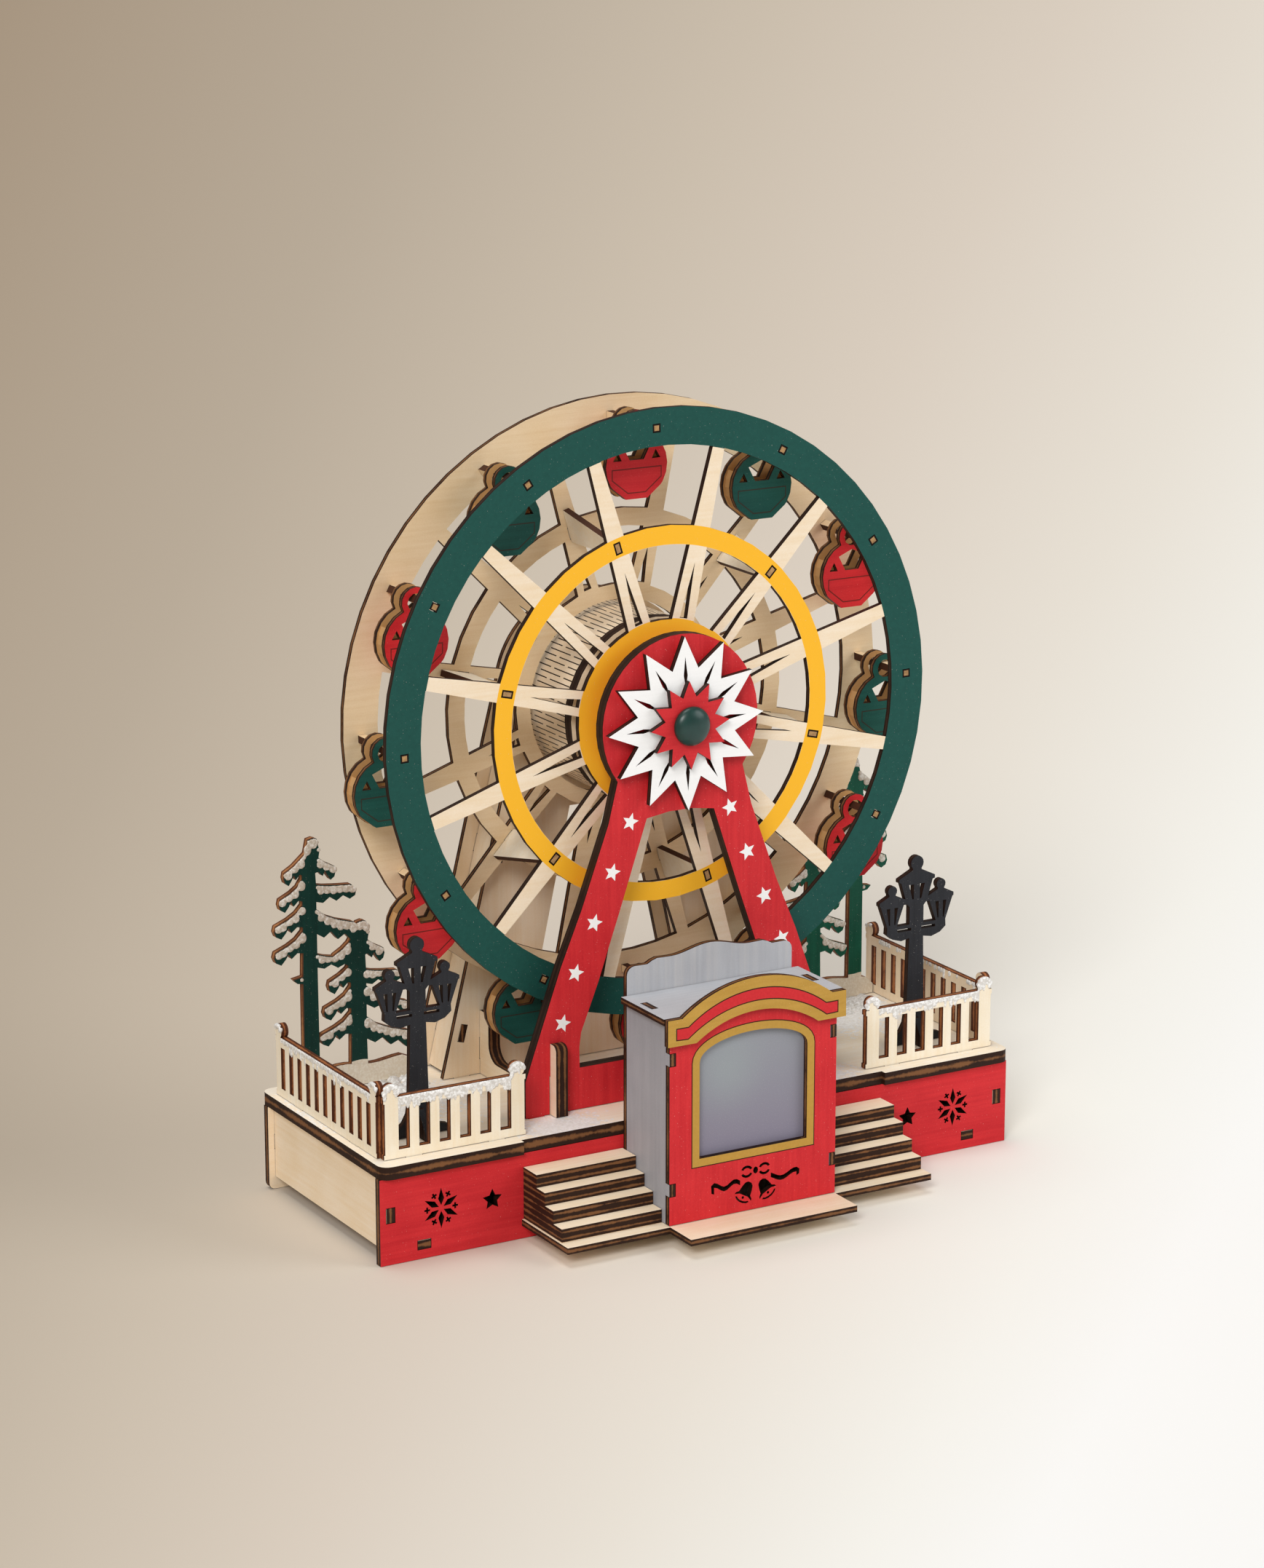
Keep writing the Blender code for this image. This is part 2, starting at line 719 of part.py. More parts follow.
def deck(paint):
    """The two-ply deck: proud of the panel under the fences, flush behind the booth."""
    corner = DECK_CORNER
    front = -DECK_FRONT_LIP
    outline = arc(-HALF + corner, front + corner, corner, 180, 270, 5)
    outline += [(-DECK_STEP, front), (-DECK_STEP, 0), (DECK_STEP, 0), (DECK_STEP, front)]
    outline += arc(HALF - corner, front + corner, corner, 270, 360, 5)
    outline += arc(HALF - corner, DECK_BACK - corner, corner, 0, 90, 5)
    outline += arc(-HALF + corner, DECK_BACK - corner, corner, 90, 180, 5)
    lay("deck", sheet("deck", outline, deck_slots(), DECK_THICK), paint, DECK_LOW, DECK_THICK)


def platform(paint):
    """The T-shaped board in front of the base that carries the booth and the stairs."""
    places = (-PLATFORM_TAB_PLACE, PLATFORM_TAB_PLACE)
    rear = bottom_edge(-STAIR_BOARD_HALF, STAIR_BOARD_HALF, GAP, places, GAP + BOX_PLY)
    outline = [(x, -y) for x, y in reversed(rear)]
    outline += [(-STAIR_BOARD_HALF, -STAIR_BOARD_FRONT), (-BOOTH_HALF, -STAIR_BOARD_FRONT)]
    outline += [(-BOOTH_HALF, -PLATFORM_FRONT), (BOOTH_HALF, -PLATFORM_FRONT)]
    outline += [(BOOTH_HALF, -STAIR_BOARD_FRONT), (STAIR_BOARD_HALF, -STAIR_BOARD_FRONT)]
    lay("platform_board", sheet("platform_board", outline), paint, PLATFORM_LIFT)


def stairs(paint):
    """Treads of two plies each, stacked into a stair on both sides of the booth."""
    rise = TREAD_PLIES * PLY
    outline = [(-GAP, BOOTH_LOW)]
    for step in range(TREAD_COUNT):
        front = -TREAD_FIRST + step * TREAD_RUN
        outline.append((front, BOOTH_LOW + step * rise))
        outline.append((front, BOOTH_LOW + (step + 1) * rise))
    outline.append((-GAP, BOOTH_LOW + TREAD_COUNT * rise))
    for side, word in ((-1, "left"), (1, "right")):
        name = "stairs_" + word
        middle = BOOTH_HALF + GAP + STAIR_WIDTH / 2
        side_on(name, sheet(name, outline, (), STAIR_WIDTH), paint, side * middle)


def window_outline(grow):
    """The booth window with its shallow elliptical arch, grown all round."""
    half = WINDOW_HALF + grow
    low = WINDOW_SHOULDER + grow
    rise = WINDOW_PEAK - WINDOW_SHOULDER
    points = [(half, WINDOW_SILL - grow)]
    steps = 9
    for step in range(steps + 1):
        angle = math.radians(90 * step / steps)
        points.append((half * math.cos(angle), low + rise * math.sin(angle)))
    return points[:-1] + [(0, WINDOW_PEAK + grow)] + flipped(reversed(points[:-1]))


def band(x, y, across, up, start, end, width):
    """A curved band between two ellipses, from one angle to another."""
    outer = []
    inner = []
    steps = 5
    for step in range(steps + 1):
        angle = math.radians(start + (end - start) * step / steps)
        outer.append((x + across * math.cos(angle), y + up * math.sin(angle)))
        inner.append((x + (across - width) * math.cos(angle), y + (up - width) * math.sin(angle)))
    return outer + inner[::-1]


def bell(side):
    """A leaning bell: its body, the rim below its mouth and its clapper."""
    x = ORNAMENT_SHIFT + side * BELL_SPREAD
    y = BELL_LIFT
    wide = BELL_MOUTH
    tall = BELL_HEIGHT
    half = [(wide * 0.5, 0.0011), (wide, 0), (wide * 0.95, tall * 0.13), (wide * 0.68, tall * 0.27)]
    half += [(wide * 0.58, tall * 0.6), (wide * 0.44, tall * 0.87), (wide * 0.17, tall)]
    body = [(x + px, y + py) for px, py in both_sides(half)]
    rim = band(x, y, wide * 0.88, wide * 0.5, 200, 340, 0.0009)
    clapper = circle(x, y, CLAPPER_RADIUS, 6)
    return [tilted(points, x, y, side * BELL_LEAN) for points in (body, rim, clapper)]


def ribbon(side, start, turn, tail):
    """A wavy ribbon beside the bow, with a drooping tail."""
    upper = []
    lower = []
    steps = 8
    for step in range(steps + 1):
        share = step / steps
        across = RIBBON_START + RIBBON_LENGTH * share
        level = RIBBON_LIFT + RIBBON_WAVE * math.sin(math.radians(start + turn * share))
        upper.append((ORNAMENT_SHIFT + side * across, level + RIBBON_HALF))
        lower.append((ORNAMENT_SHIFT + side * across, level - RIBBON_HALF))
    x, y = lower[-1]
    end = [(x + side * 0.0016, y + RIBBON_HALF), (x + side * 0.0014, y - tail), (x, y - tail - 0.0006)]
    return upper + end + lower[::-1]


def booth_ornament():
    """Two bells under a bow with two ribbons, cut through the booth front."""
    holes = [ribbon(-1, 0, 450, 0.0026), ribbon(1, 134, 330, 0.0012)]
    knot = circle(ORNAMENT_SHIFT, BOW_LIFT, 0.0013, 8)
    holes.append([(x, BOW_LIFT + (y - BOW_LIFT) * 1.3) for x, y in knot])
    for side in (-1, 1):
        holes += bell(side)
        for start in (25, 205):
            loop = band(BOW_SPREAD, BOW_LIFT, BOW_ACROSS, BOW_UP, start, start + 130, BOW_BAND)
            holes.append([(ORNAMENT_SHIFT + side * x, y) for x, y in loop])
    return holes


def booth_front(paint):
    """The booth's red front with its window, side notches and ornament."""
    notch = PLY + GAP
    right = [(BOOTH_HALF, BOOTH_LOW)]
    for low in (BOOTH_NOTCH_LOW, BOOTH_NOTCH_HIGH):
        bottom = low - BOOTH_NOTCH_HEIGHT / 2 - GAP
        top = low + BOOTH_NOTCH_HEIGHT / 2 + GAP
        right += [(BOOTH_HALF, bottom), (BOOTH_HALF - notch, bottom)]
        right += [(BOOTH_HALF - notch, top), (BOOTH_HALF, top)]
    right.append((BOOTH_HALF, ROOF_LOW - GAP))
    holes = [window_outline(0)] + booth_ornament()
    stand("booth_front", sheet("booth_front", both_sides(right), holes), paint, -BOOTH_FRONT)


def booth_sides(paint):
    """The booth's side boards: tabs through the front and up through the roof."""
    front = -BOOTH_FRONT + PLY + GAP
    back = -GAP - PLY - GAP
    top = ROOF_LOW - GAP
    outline = [(front, BOOTH_LOW), (back, BOOTH_LOW), (back, top)]
    tab_back = -ROOF_TAB_DEPTH + ROOF_TAB_WIDTH / 2
    tab_front = -ROOF_TAB_DEPTH - ROOF_TAB_WIDTH / 2
    outline += [(tab_back, top), (tab_back, BOOTH_TOP), (tab_front, BOOTH_TOP), (tab_front, top)]
    outline.append((front, top))
    for middle in (BOOTH_NOTCH_HIGH, BOOTH_NOTCH_LOW):
        low = middle - BOOTH_NOTCH_HEIGHT / 2
        high = middle + BOOTH_NOTCH_HEIGHT / 2
        outline += [(front, high), (-BOOTH_FRONT, high), (-BOOTH_FRONT, low), (front, low)]
    for side, word in ((-1, "left"), (1, "right")):
        name = "booth_side_" + word
        side_on(name, sheet(name, outline), paint, side * (BOOTH_HALF - PLY / 2))


def booth_roof(paint):
    """The roof board with slots for the side boards' tabs."""
    outline = box(-ROOF_HALF, ROOF_HALF, -BOOTH_FRONT, -GAP - PLY - GAP)
    holes = []
    for side in (-1, 1):
        inner = BOOTH_HALF - PLY - GAP
        front = -ROOF_TAB_DEPTH - ROOF_TAB_WIDTH / 2 - GAP
        back = -ROOF_TAB_DEPTH + ROOF_TAB_WIDTH / 2 + GAP
        holes.append(flipped(box(inner, BOOTH_HALF + GAP, front, back), side))
    lay("booth_roof", sheet("booth_roof", outline, holes), paint, ROOF_LOW)


def booth_back(paint):
    """The booth's back board, whose scrolled top shows above the roof."""
    corner = BACK_CORNER
    right = [(BACK_HALF, BOOTH_LOW)]
    right += arc(BACK_HALF - corner, BACK_SHOULDER - corner, corner, 0, 90, 4)
    right += [(BACK_STEP_HALF, BACK_SHOULDER - 0.0001)]
    right.append(((BACK_STEP_HALF + BACK_LEDGE_HALF) / 2, (BACK_SHOULDER + BACK_LEDGE) / 2 + 0.0003))
    right += [(BACK_LEDGE_HALF, BACK_LEDGE + 0.0002), (BACK_LEDGE_HALF - 0.003, BACK_LEDGE + 0.0001)]
    steps = 8
    for step in range(steps):
        share = math.sin(math.radians(90 * step / steps)) ** 2
        right.append((BACK_RISE_HALF * (1 - step / steps), BACK_LEDGE + (BACK_PEAK - BACK_LEDGE) * share))
    right.append((0.0001, BACK_PEAK))
    stand("booth_back", sheet("booth_back", both_sides(right)), paint, -GAP - PLY)


def bow(half, low, high, steps):
    """The right half of a circular arch, from its end to just beside its middle."""
    rise = high - low
    radius = (half ** 2 + rise ** 2) / (2 * rise)
    end = math.asin(half / radius)
    points = []
    for step in range(steps):
        angle = end * (1 - step / steps)
        points.append((radius * math.sin(angle), high - radius * (1 - math.cos(angle))))
    return points + [(0.0001, high)]


def booth_crown(paint):
    """The arched board on the booth's brow, with flat ears."""
    right = bow(CROWN_ARCH_HALF, CROWN_LOW, CROWN_ARCH_PEAK, 9)[::-1]
    right += [(CROWN_HALF, CROWN_LOW), (CROWN_HALF, CROWN_END_TOP)]
    right += bow(CROWN_TOP_ARCH_HALF, CROWN_END_TOP, CROWN_PEAK, 11)
    face = -BOOTH_FRONT - GAP - PLY
    stand("booth_crown", sheet("booth_crown", both_sides(right)), paint, face)


def booth_pane(paint):
    """The frosted pane behind the booth window."""
    mesh = sheet("booth_pane", window_outline(PANE_BORDER), (), PANE_THICK)
    stand("booth_pane", mesh, paint, -BOOTH_FRONT + PLY + GAP, PANE_THICK)


def booth_lamp_board(paint):
    """The small lit board on the inside of the booth's back."""
    outline = box(-LAMP_BOARD_HALF, LAMP_BOARD_HALF, LAMP_BOARD_LOW, LAMP_BOARD_HIGH)
    face = -GAP - PLY - GAP - LAMP_BOARD_THICK
    mesh = sheet("booth_lamp_board", outline, (), LAMP_BOARD_THICK)
    stand("booth_lamp_board", mesh, paint, face, LAMP_BOARD_THICK)


def frame_tabs():
    """Where the front frame's tabs stand."""
    return (FRAME_TAB_INNER, FRAME_FOOT - FRAME_TAB_FROM_FOOT)


def a_frame(paint):
    """The red two-ply frame: a round head on two splayed legs with a cross beam."""
    lap = WALL_THICK / 2 + GAP
    tabs = frame_tabs()
    right = bottom_edge(0.0001, WALL_PLACE - lap, STAND, (tabs[0],), STAND - DECK_LOW)
    right += [(WALL_PLACE - lap, FRAME_LAP_TOP + GAP), (WALL_PLACE + lap, FRAME_LAP_TOP + GAP)]
    right += bottom_edge(WALL_PLACE + lap, FRAME_FOOT, STAND, (tabs[1],), STAND - DECK_LOW)
    right += [(FRAME_FOOT, FRAME_FOOT_TOP), (FRAME_SHIN_HALF, FRAME_SHIN_TOP)]
    right += [(FRAME_CALF_HALF, FRAME_CALF_TOP), (FRAME_THIGH_HALF, FRAME_THIGH_TOP)]
    right.append((FRAME_NECK_HALF, FRAME_NECK_TOP))
    right += arc(0, AXLE_HEIGHT, FRAME_HEAD, -36, 90, 16)[:-1]
    outline = right + [(0, AXLE_HEIGHT + FRAME_HEAD)] + flipped(reversed(right))
    inner = [(FRAME_KNEE_HALF, FRAME_BEAM_TOP), (FRAME_KNEE_HALF + 0.0001, FRAME_KNEE_TOP)]
    inner += [(FRAME_KNEE_HALF - 0.0008, FRAME_WINDOW_BEND), (FRAME_WINDOW_CALF, FRAME_WINDOW_CALF_TOP)]
    inner += [(FRAME_WINDOW_THIGH, FRAME_WINDOW_THIGH_TOP), (FRAME_WINDOW_NECK, FRAME_WINDOW_NECK_TOP)]
    inner.append((FRAME_WINDOW_TOP_HALF, FRAME_WINDOW_TOP))
    window = both_sides(inner)
    bore = circle(0, AXLE_HEIGHT, AXLE_RADIUS + GAP, 24)
    thick = FRAME_PLIES * PLY
    mesh = sheet("a_frame", outline, [window, bore], thick)
    stand("a_frame", mesh, paint, FRAME_FACE, thick)


def wall_tabs():
    """Where the side walls' tabs stand."""
    return (WALL_TAB_FRONT, TOWER_FACE - WALL_TAB_FROM_TOWER)


def walls(paint):
    """The side walls: lapped into the front frame, with a U-shaped cut-out for the gondolas."""
    corner = WALL_WINDOW_CORNER
    back = TOWER_FACE - GAP
    outline = bottom_edge(WALL_FRONT, back, STAND, wall_tabs(), STAND - DECK_LOW)
    outline += [(back, WALL_TAB_LOW), (TOWER_FACE + PLY, WALL_TAB_LOW)]
    outline += [(TOWER_FACE + PLY, WALL_TAB_HIGH), (back, WALL_TAB_HIGH), (back, WALL_BACK_TOP)]
    outline.append((WALL_WINDOW_BACK, WALL_BACK_TOP))
    low = WALL_WINDOW_LOW + corner
    outline += arc(WALL_WINDOW_BACK - corner, low, corner, 0, -90, 6)
    outline += arc(WALL_WINDOW_FRONT + corner, low, corner, -90, -180, 6)
    outline += [(WALL_WINDOW_FRONT, WALL_TOP), (FRAME_BACK + GAP, WALL_TOP)]
    outline += [(FRAME_BACK + GAP, FRAME_LAP_TOP), (FRAME_FACE - GAP, FRAME_LAP_TOP)]
    outline.append((FRAME_FACE - GAP, WALL_TOP))
    outline += arc(WALL_FRONT + WALL_CORNER, WALL_TOP - WALL_CORNER, WALL_CORNER, 90, 180, 4)
    for side, word in ((-1, "left"), (1, "right")):
        name = "wall_" + word
        side_on(name, sheet(name, outline, (), WALL_THICK), paint, side * WALL_PLACE)


def tower_tabs():
    """Where the tower boards' tabs stand."""
    return (TOWER_TAB_INNER, TOWER_FOOT - TOWER_TAB_FROM_FOOT)


def tower_board(name, paint, face, foot, head_bore, wall_slots):
    """One of the tower's two tall boards, with side-board slots and a round head."""
    lean = TOWER_LEAN
    head = TOWER_HEAD
    low = STAND
    touch = math.degrees(math.atan(lean))
    right = bottom_edge(0.0001, foot, low, tower_tabs(), STAND - DECK_LOW)
    neck_height = AXLE_HEIGHT - head * 0.42
    neck_half = foot - (neck_height - low) * lean
    start = -math.degrees(math.asin(0.42))
    if neck_half > head * math.cos(math.radians(start)):
        right.append((neck_half, neck_height))
        start = touch - 8
    else:
        edge = AXLE_HEIGHT - head * 0.78
        right.append((foot - (edge - low) * lean, edge))
        start = -math.degrees(math.asin(0.6))
    right += arc(0, AXLE_HEIGHT, head, start, 90, 18)[:-1]
    outline = right + [(0, AXLE_HEIGHT + head)] + flipped(reversed(right))
    leg = foot - TOWER_LEG
    slope = TOWER_INNER_LEAN
    beam = TOWER_BEAM_TOP
    top = TOWER_WINDOW_TOP
    inner = [(leg - 0.003 - (beam - low) * slope, beam)]
    inner.append((leg - (beam + 0.003 - low) * slope, beam + 0.003))
    inner.append((leg - (top - low) * slope, top))
    holes = [both_sides(inner), circle(0, AXLE_HEIGHT, head_bore, 16)]
    for side in (-1, 1):
        for height in (TOWER_SIDE_TAB, TOWER_SIDE_TAB_HIGH):
            x = tower_side_x(height)
            slot = box(x - PLY / 2 - GAP, x + PLY / 2 + GAP, height - TAB_WIDTH / 2 - GAP,
                       height + TAB_WIDTH / 2 + GAP)
            holes.append(flipped(tilted(slot, x, height, touch), side))
        if wall_slots:
            edge = side * WALL_PLACE
            reach = WALL_THICK / 2 + GAP
            holes.append(box(edge - reach, edge + reach, WALL_TAB_LOW - GAP, WALL_TAB_HIGH + GAP))
    stand(name, sheet(name, outline, holes), paint, face)


def tower_side_x(height):
    """The middle of a tower side board at a height."""
    outer = TOWER_FOOT - (height - STAND) * TOWER_LEAN - TOWER_SIDE_INSET
    return outer - PLY / 2 * math.sqrt(1 + TOWER_LEAN ** 2)


def tower_sides(paint):
    """The leaning side boards between the tower's front and back boards."""
    lean = math.atan(TOWER_LEAN)
    stretch = 1 / math.cos(lean)
    low = STAND + PLY * math.sin(lean)
    length = (TOWER_SIDE_TOP - low) * stretch
    front = TOWER_FACE + PLY + GAP
    back = TOWER_BACK_FACE - GAP
    spots = [(height - low) * stretch for height in (TOWER_SIDE_TAB, TOWER_SIDE_TAB_HIGH)]
    outline = [(front, 0), (back, 0)]
    for spot in spots:
        outline += [(back, spot - TAB_WIDTH / 2), (TOWER_BACK_FACE + PLY, spot - TAB_WIDTH / 2)]
        outline += [(TOWER_BACK_FACE + PLY, spot + TAB_WIDTH / 2), (back, spot + TAB_WIDTH / 2)]
    outline += [(back, length), (front, length)]
    for spot in reversed(spots):
        outline += [(front, spot + TAB_WIDTH / 2), (TOWER_FACE, spot + TAB_WIDTH / 2)]
        outline += [(TOWER_FACE, spot - TAB_WIDTH / 2), (front, spot - TAB_WIDTH / 2)]
    for side, word in ((-1, "left"), (1, "right")):
        name = "tower_side_" + word
        tip = bpy.data.objects.new("lean_" + word, None)
        bpy.context.scene.collection.objects.link(tip)
        tip.location = (side * tower_side_x(low), 0, low)
        tip.rotation_euler = (0, -side * lean, 0)
        piece = side_on(name, sheet(name, outline), paint, 0)
        piece.parent = tip


def drum(paint):
    """The bent-sheet drum behind the hub, closed by a two-ply cap with a bore for the axle."""
    cap = DRUM_RADIUS + DRUM_CAP_LIP
    bore = AXLE_RADIUS + GAP
    end = TOWER_FACE - GAP
    profile = [(bore, DRUM_FACE), (cap, DRUM_FACE), (cap, DRUM_CAP_BACK), (DRUM_RADIUS, DRUM_CAP_BACK)]
    profile += [(DRUM_RADIUS, end), (DRUM_RADIUS - PLY, end), (DRUM_RADIUS - PLY, DRUM_CAP_BACK)]
    profile.append((bore, DRUM_CAP_BACK))
    mesh = lathe("drum_housing", profile, 36, True)
    add("drum_housing", mesh, paint, (0, -MID_DEPTH, AXLE_HEIGHT))


def motor(paint):
    """The gear motor on the tower board, with a socket for the end of the axle."""
    socket = AXLE_RADIUS + GAP
    end = TOWER_FACE - GAP
    profile = [(0, MOTOR_FACE + MOTOR_SOCKET), (socket, MOTOR_FACE + MOTOR_SOCKET), (socket, MOTOR_FACE)]
    profile += [(MOTOR_RADIUS, MOTOR_FACE), (MOTOR_RADIUS, end), (0, end)]
    add("gear_motor", lathe("gear_motor", profile, 24, False), paint, (0, -MID_DEPTH, AXLE_HEIGHT))


def battery_box(paint):
    """The battery box on the floor board."""
    outline = box(-BATTERY_HALF, BATTERY_HALF, BATTERY_FRONT, BATTERY_BACK)
    low = FLOOR_LIFT + BOX_PLY + GAP
    thick = BATTERY_TOP - low
    lay("battery_box", sheet("battery_box", outline, (), thick), paint, low, thick)


def switch(paint):
    """The sliding switch: a flange inside the back panel and a key through its slot."""
    inner = BASE_DEPTH - BOX_PLY - GAP
    half = SWITCH_HALF
    flange = SWITCH_FLANGE_HALF
    outline = [(-flange, inner - PLY), (flange, inner - PLY), (flange, inner), (half, inner)]
    outline += [(half, BASE_DEPTH + SWITCH_PROUD), (-half, BASE_DEPTH + SWITCH_PROUD)]
    outline += [(-half, inner), (-flange, inner)]
    mesh = sheet("switch_slider", outline, (), SWITCH_HEIGHT)
    add("switch_slider", mesh, paint, (SWITCH_PLACE, -MID_DEPTH, SWITCH_LIFT))


def droop(half, low, reach):
    """A hanging branch's right-hand outline, from its lower root round its hooked tip."""
    points = [(half, low), (reach * 0.36, low + 0.0004), (reach * 0.52, low - 0.0019)]
    points += [(reach * 0.6, low + 0.0006), (reach * 0.68, low - 0.0017), (reach * 0.81, low - 0.0042)]
    points += [(reach * 0.95, low - 0.0029), (reach, low - 0.0006), (reach * 0.96, low + 0.002)]
    points += [(reach * 0.6, low + 0.0046), (reach * 0.37, low + 0.007)]
    return points


def spread(half, root, reach, sag, deep):
    """A long branch's right-hand outline, nearly level, with a scalloped underside."""
    run = reach - half
    points = [(half, root - deep * 0.9)]
    for step in range(1, 6):
        share = step / 6
        hang = deep * (1 - 0.25 * share) * (1 if step % 2 else 0.72)
        points.append((half + run * share, root - sag * share - hang))
    points += [(reach - 0.0006, root - sag - deep * 0.6), (reach, root - sag - deep * 0.3)]
    points += [(reach - 0.0025, root - sag), (half + run * 0.5, root - sag * 0.72)]
    points += [(half + run * 0.22, root - sag * 0.42), (half, root)]
    return points


def tree_side(low, top, trunk, tiers):
    """The outer side of a fir, with drooping branches one above another."""
    points = [(trunk, low)]
    if tiers[0] <= TREE_OUTER_LIMIT:
        knot = top - TREE_KNOT_LIFT - TREE_TIER
        points += [(trunk, knot - 0.0014), (TREE_KNOT_REACH - 0.002, knot - 0.001)]
        points += [(TREE_KNOT_REACH, knot + 0.001), (trunk, knot + 0.0019)]
    for tier, reach in enumerate(tiers):
        root = top - TREE_HOOK_FALL - (len(tiers) - 1 - tier) * TREE_TIER
        points += droop(trunk - 0.0003, root, reach)
        if tier < len(tiers) - 1:
            points.append((trunk - 0.0003, root + 0.0102))
    return points


def reaches(limit):
    """How far the drooping branches reach, from the lowest up."""
    return [min(limit, TREE_FIRST_REACH + TREE_REACH_STEP * step) for step in (3, 2, 1, 0)]


def fir(place, low, top, trunk, limit, branches):
    """A fir's outline: drooping branches on one side, long ones on the other, under one tip."""
    outer = tree_side(low, top, trunk, reaches(limit))
    outer += [(TREE_FIRST_REACH * 0.12, low + (top - low) * 0.94), (0.0001, top - 0.0006)]
    inner = [(trunk, low)]
    for fall, reach, sag, deep in branches:
        inner += spread(trunk - 0.0003, top - fall, reach, sag, deep)
    inner += droop(trunk - 0.0006, top - TREE_HOOK_FALL, TREE_FIRST_REACH * 1.08)
    inner += [(0.0055, top - 0.0065), (0.0042, top - 0.0006), (0.0026, top)]
    points = inner + flipped(reversed(outer))
    return [(place + x, y) for x, y in points]


def tree_tabs():
    """Where the tree boards' tabs stand."""
    return (TREE_MOUND_INNER + TREE_TAB_FROM_END, TREE_MOUND_OUTER - TREE_TAB_FROM_END)


def mound_outline():
    """The wavy snow bank that the two trunks rise from, with its tabs."""
    reach = STAND - DECK_LOW
    outline = bottom_edge(TREE_MOUND_INNER, TREE_MOUND_OUTER, STAND, tree_tabs(), reach)
    steps = 16
    for step in range(steps + 1):
        share = 1 - step / steps
        x = TREE_MOUND_INNER + (TREE_MOUND_OUTER - TREE_MOUND_INNER) * share
        swell = 0.0008 * math.sin(share * 4.2 * math.pi)
        edge = 0.006 * max(0.0, 1 - 8 * min(share, 1 - share)) ** 2
        outline.append((x, TREE_MOUND_TOP + swell - edge))
    return outline


def trees(paint):
    """Two tree boards: a tall fir and a small one on a bank of snow."""
    low = TREE_MOUND_TOP - 0.004
    between = TREE_TALL_PLACE - TREE_SMALL_PLACE
    long_ones = [(TREE_LOW_FALL, between, 0.0037, 0.007)]
    long_ones.append((TREE_MIDDLE_FALL, between + 0.0005, 0.0085, 0.013))
    long_ones.append((TREE_HIGH_FALL, between - 0.0004, 0.0022, 0.009))
    tall = fir(-TREE_TALL_PLACE, low, TREE_TALL_TOP, TREE_TALL_TRUNK, TREE_OUTER_LIMIT, long_ones)
    long_ones = [(SMALL_LOW_FALL, SMALL_LOW_REACH, 0.010, 0.012)]
    long_ones.append((SMALL_MIDDLE_FALL, SMALL_MIDDLE_REACH, 0.0105, 0.010))
    long_ones.append((SMALL_HIGH_FALL, SMALL_HIGH_REACH, 0.0025, 0.0075))
    limit = TREE_SMALL_LIMIT
    small = fir(-TREE_SMALL_PLACE, low, TREE_SMALL_TOP, TREE_SMALL_TRUNK, limit, long_ones)
    for side, word in ((-1, "left"), (1, "right")):
        name = "trees_" + word
        bank = sheet(name, flipped(mound_outline(), side), (), TREE_PLY)
        board = stand(name, bank, paint, TREE_FACE, TREE_PLY)
        parts = []
        for layer, outline in enumerate((tall, small), 1):
            thick = TREE_PLY - layer * TREE_SHAVE
            face = TREE_FACE + layer * TREE_SHAVE / 2
            mesh = sheet("fir", flipped(outline, -side), (), thick)
            parts.append(stand("fir", mesh, paint, face, thick))
        joined(board, parts, "MANIFOLD")


def fence_outline(start, end, post, tabs):
    """A fence from one end to the other: posts with flared feet, collars and balls, and a rail."""
    proud = FENCE_PROUD
    outline = bottom_edge(start - proud, end + proud, STAND, tabs, STAND - DECK_LOW)
    foot = STAND + FENCE_PLINTH
    rail = DECK_TOP + FENCE_RAIL
    collar = rail - FENCE_COLLAR
    ball = DECK_TOP + FENCE_BALL_LIFT
    outline += [(end + proud, foot), (end, foot), (end, collar), (end + proud, collar)]
    outline.append((end + proud, rail))
    outline += arc(end - post / 2, ball, FENCE_BALL, -52, 232, 12)
    outline += [(end - post, rail), (start + post, rail)]
    outline += arc(start + post / 2, ball, FENCE_BALL, -52, 232, 12)
    outline += [(start - proud, rail), (start - proud, collar), (start, collar)]
    outline += [(start, foot), (start - proud, foot)]
    return outline


def fence_holes(first, count, pitch, width):
    """The fence's upright slots."""
    holes = []
    low = DECK_TOP + FENCE_SLOT_LOW
    high = DECK_TOP + FENCE_SLOT_HIGH
    for step in range(count):
        left = first + step * pitch
        holes.append(box(left, left + width, low, high))
    return holes


def fence_end(start, count, pitch, width, post):
    """The far end of a fence that starts at a place."""
    return start + post + (count - 1) * pitch + width + post


def fence_tabs():
    """Where the front fences' tabs stand."""
    end = fence_end(FENCE_INNER, FENCE_SLOTS, FENCE_PITCH, FENCE_SLOT_WIDTH, FENCE_POST)
    return (FENCE_INNER + FENCE_TAB_FROM_END, end - FENCE_TAB_FROM_END)


def side_fence_tabs():
    """Where the side fences' tabs stand."""
    end = fence_end(SIDE_FENCE_FRONT, SIDE_FENCE_SLOTS, SIDE_FENCE_PITCH, SIDE_FENCE_SLOT_WIDTH,
                    SIDE_FENCE_POST)
    return (SIDE_FENCE_FRONT + SIDE_FENCE_TAB_FROM_END, end - SIDE_FENCE_TAB_FROM_END)


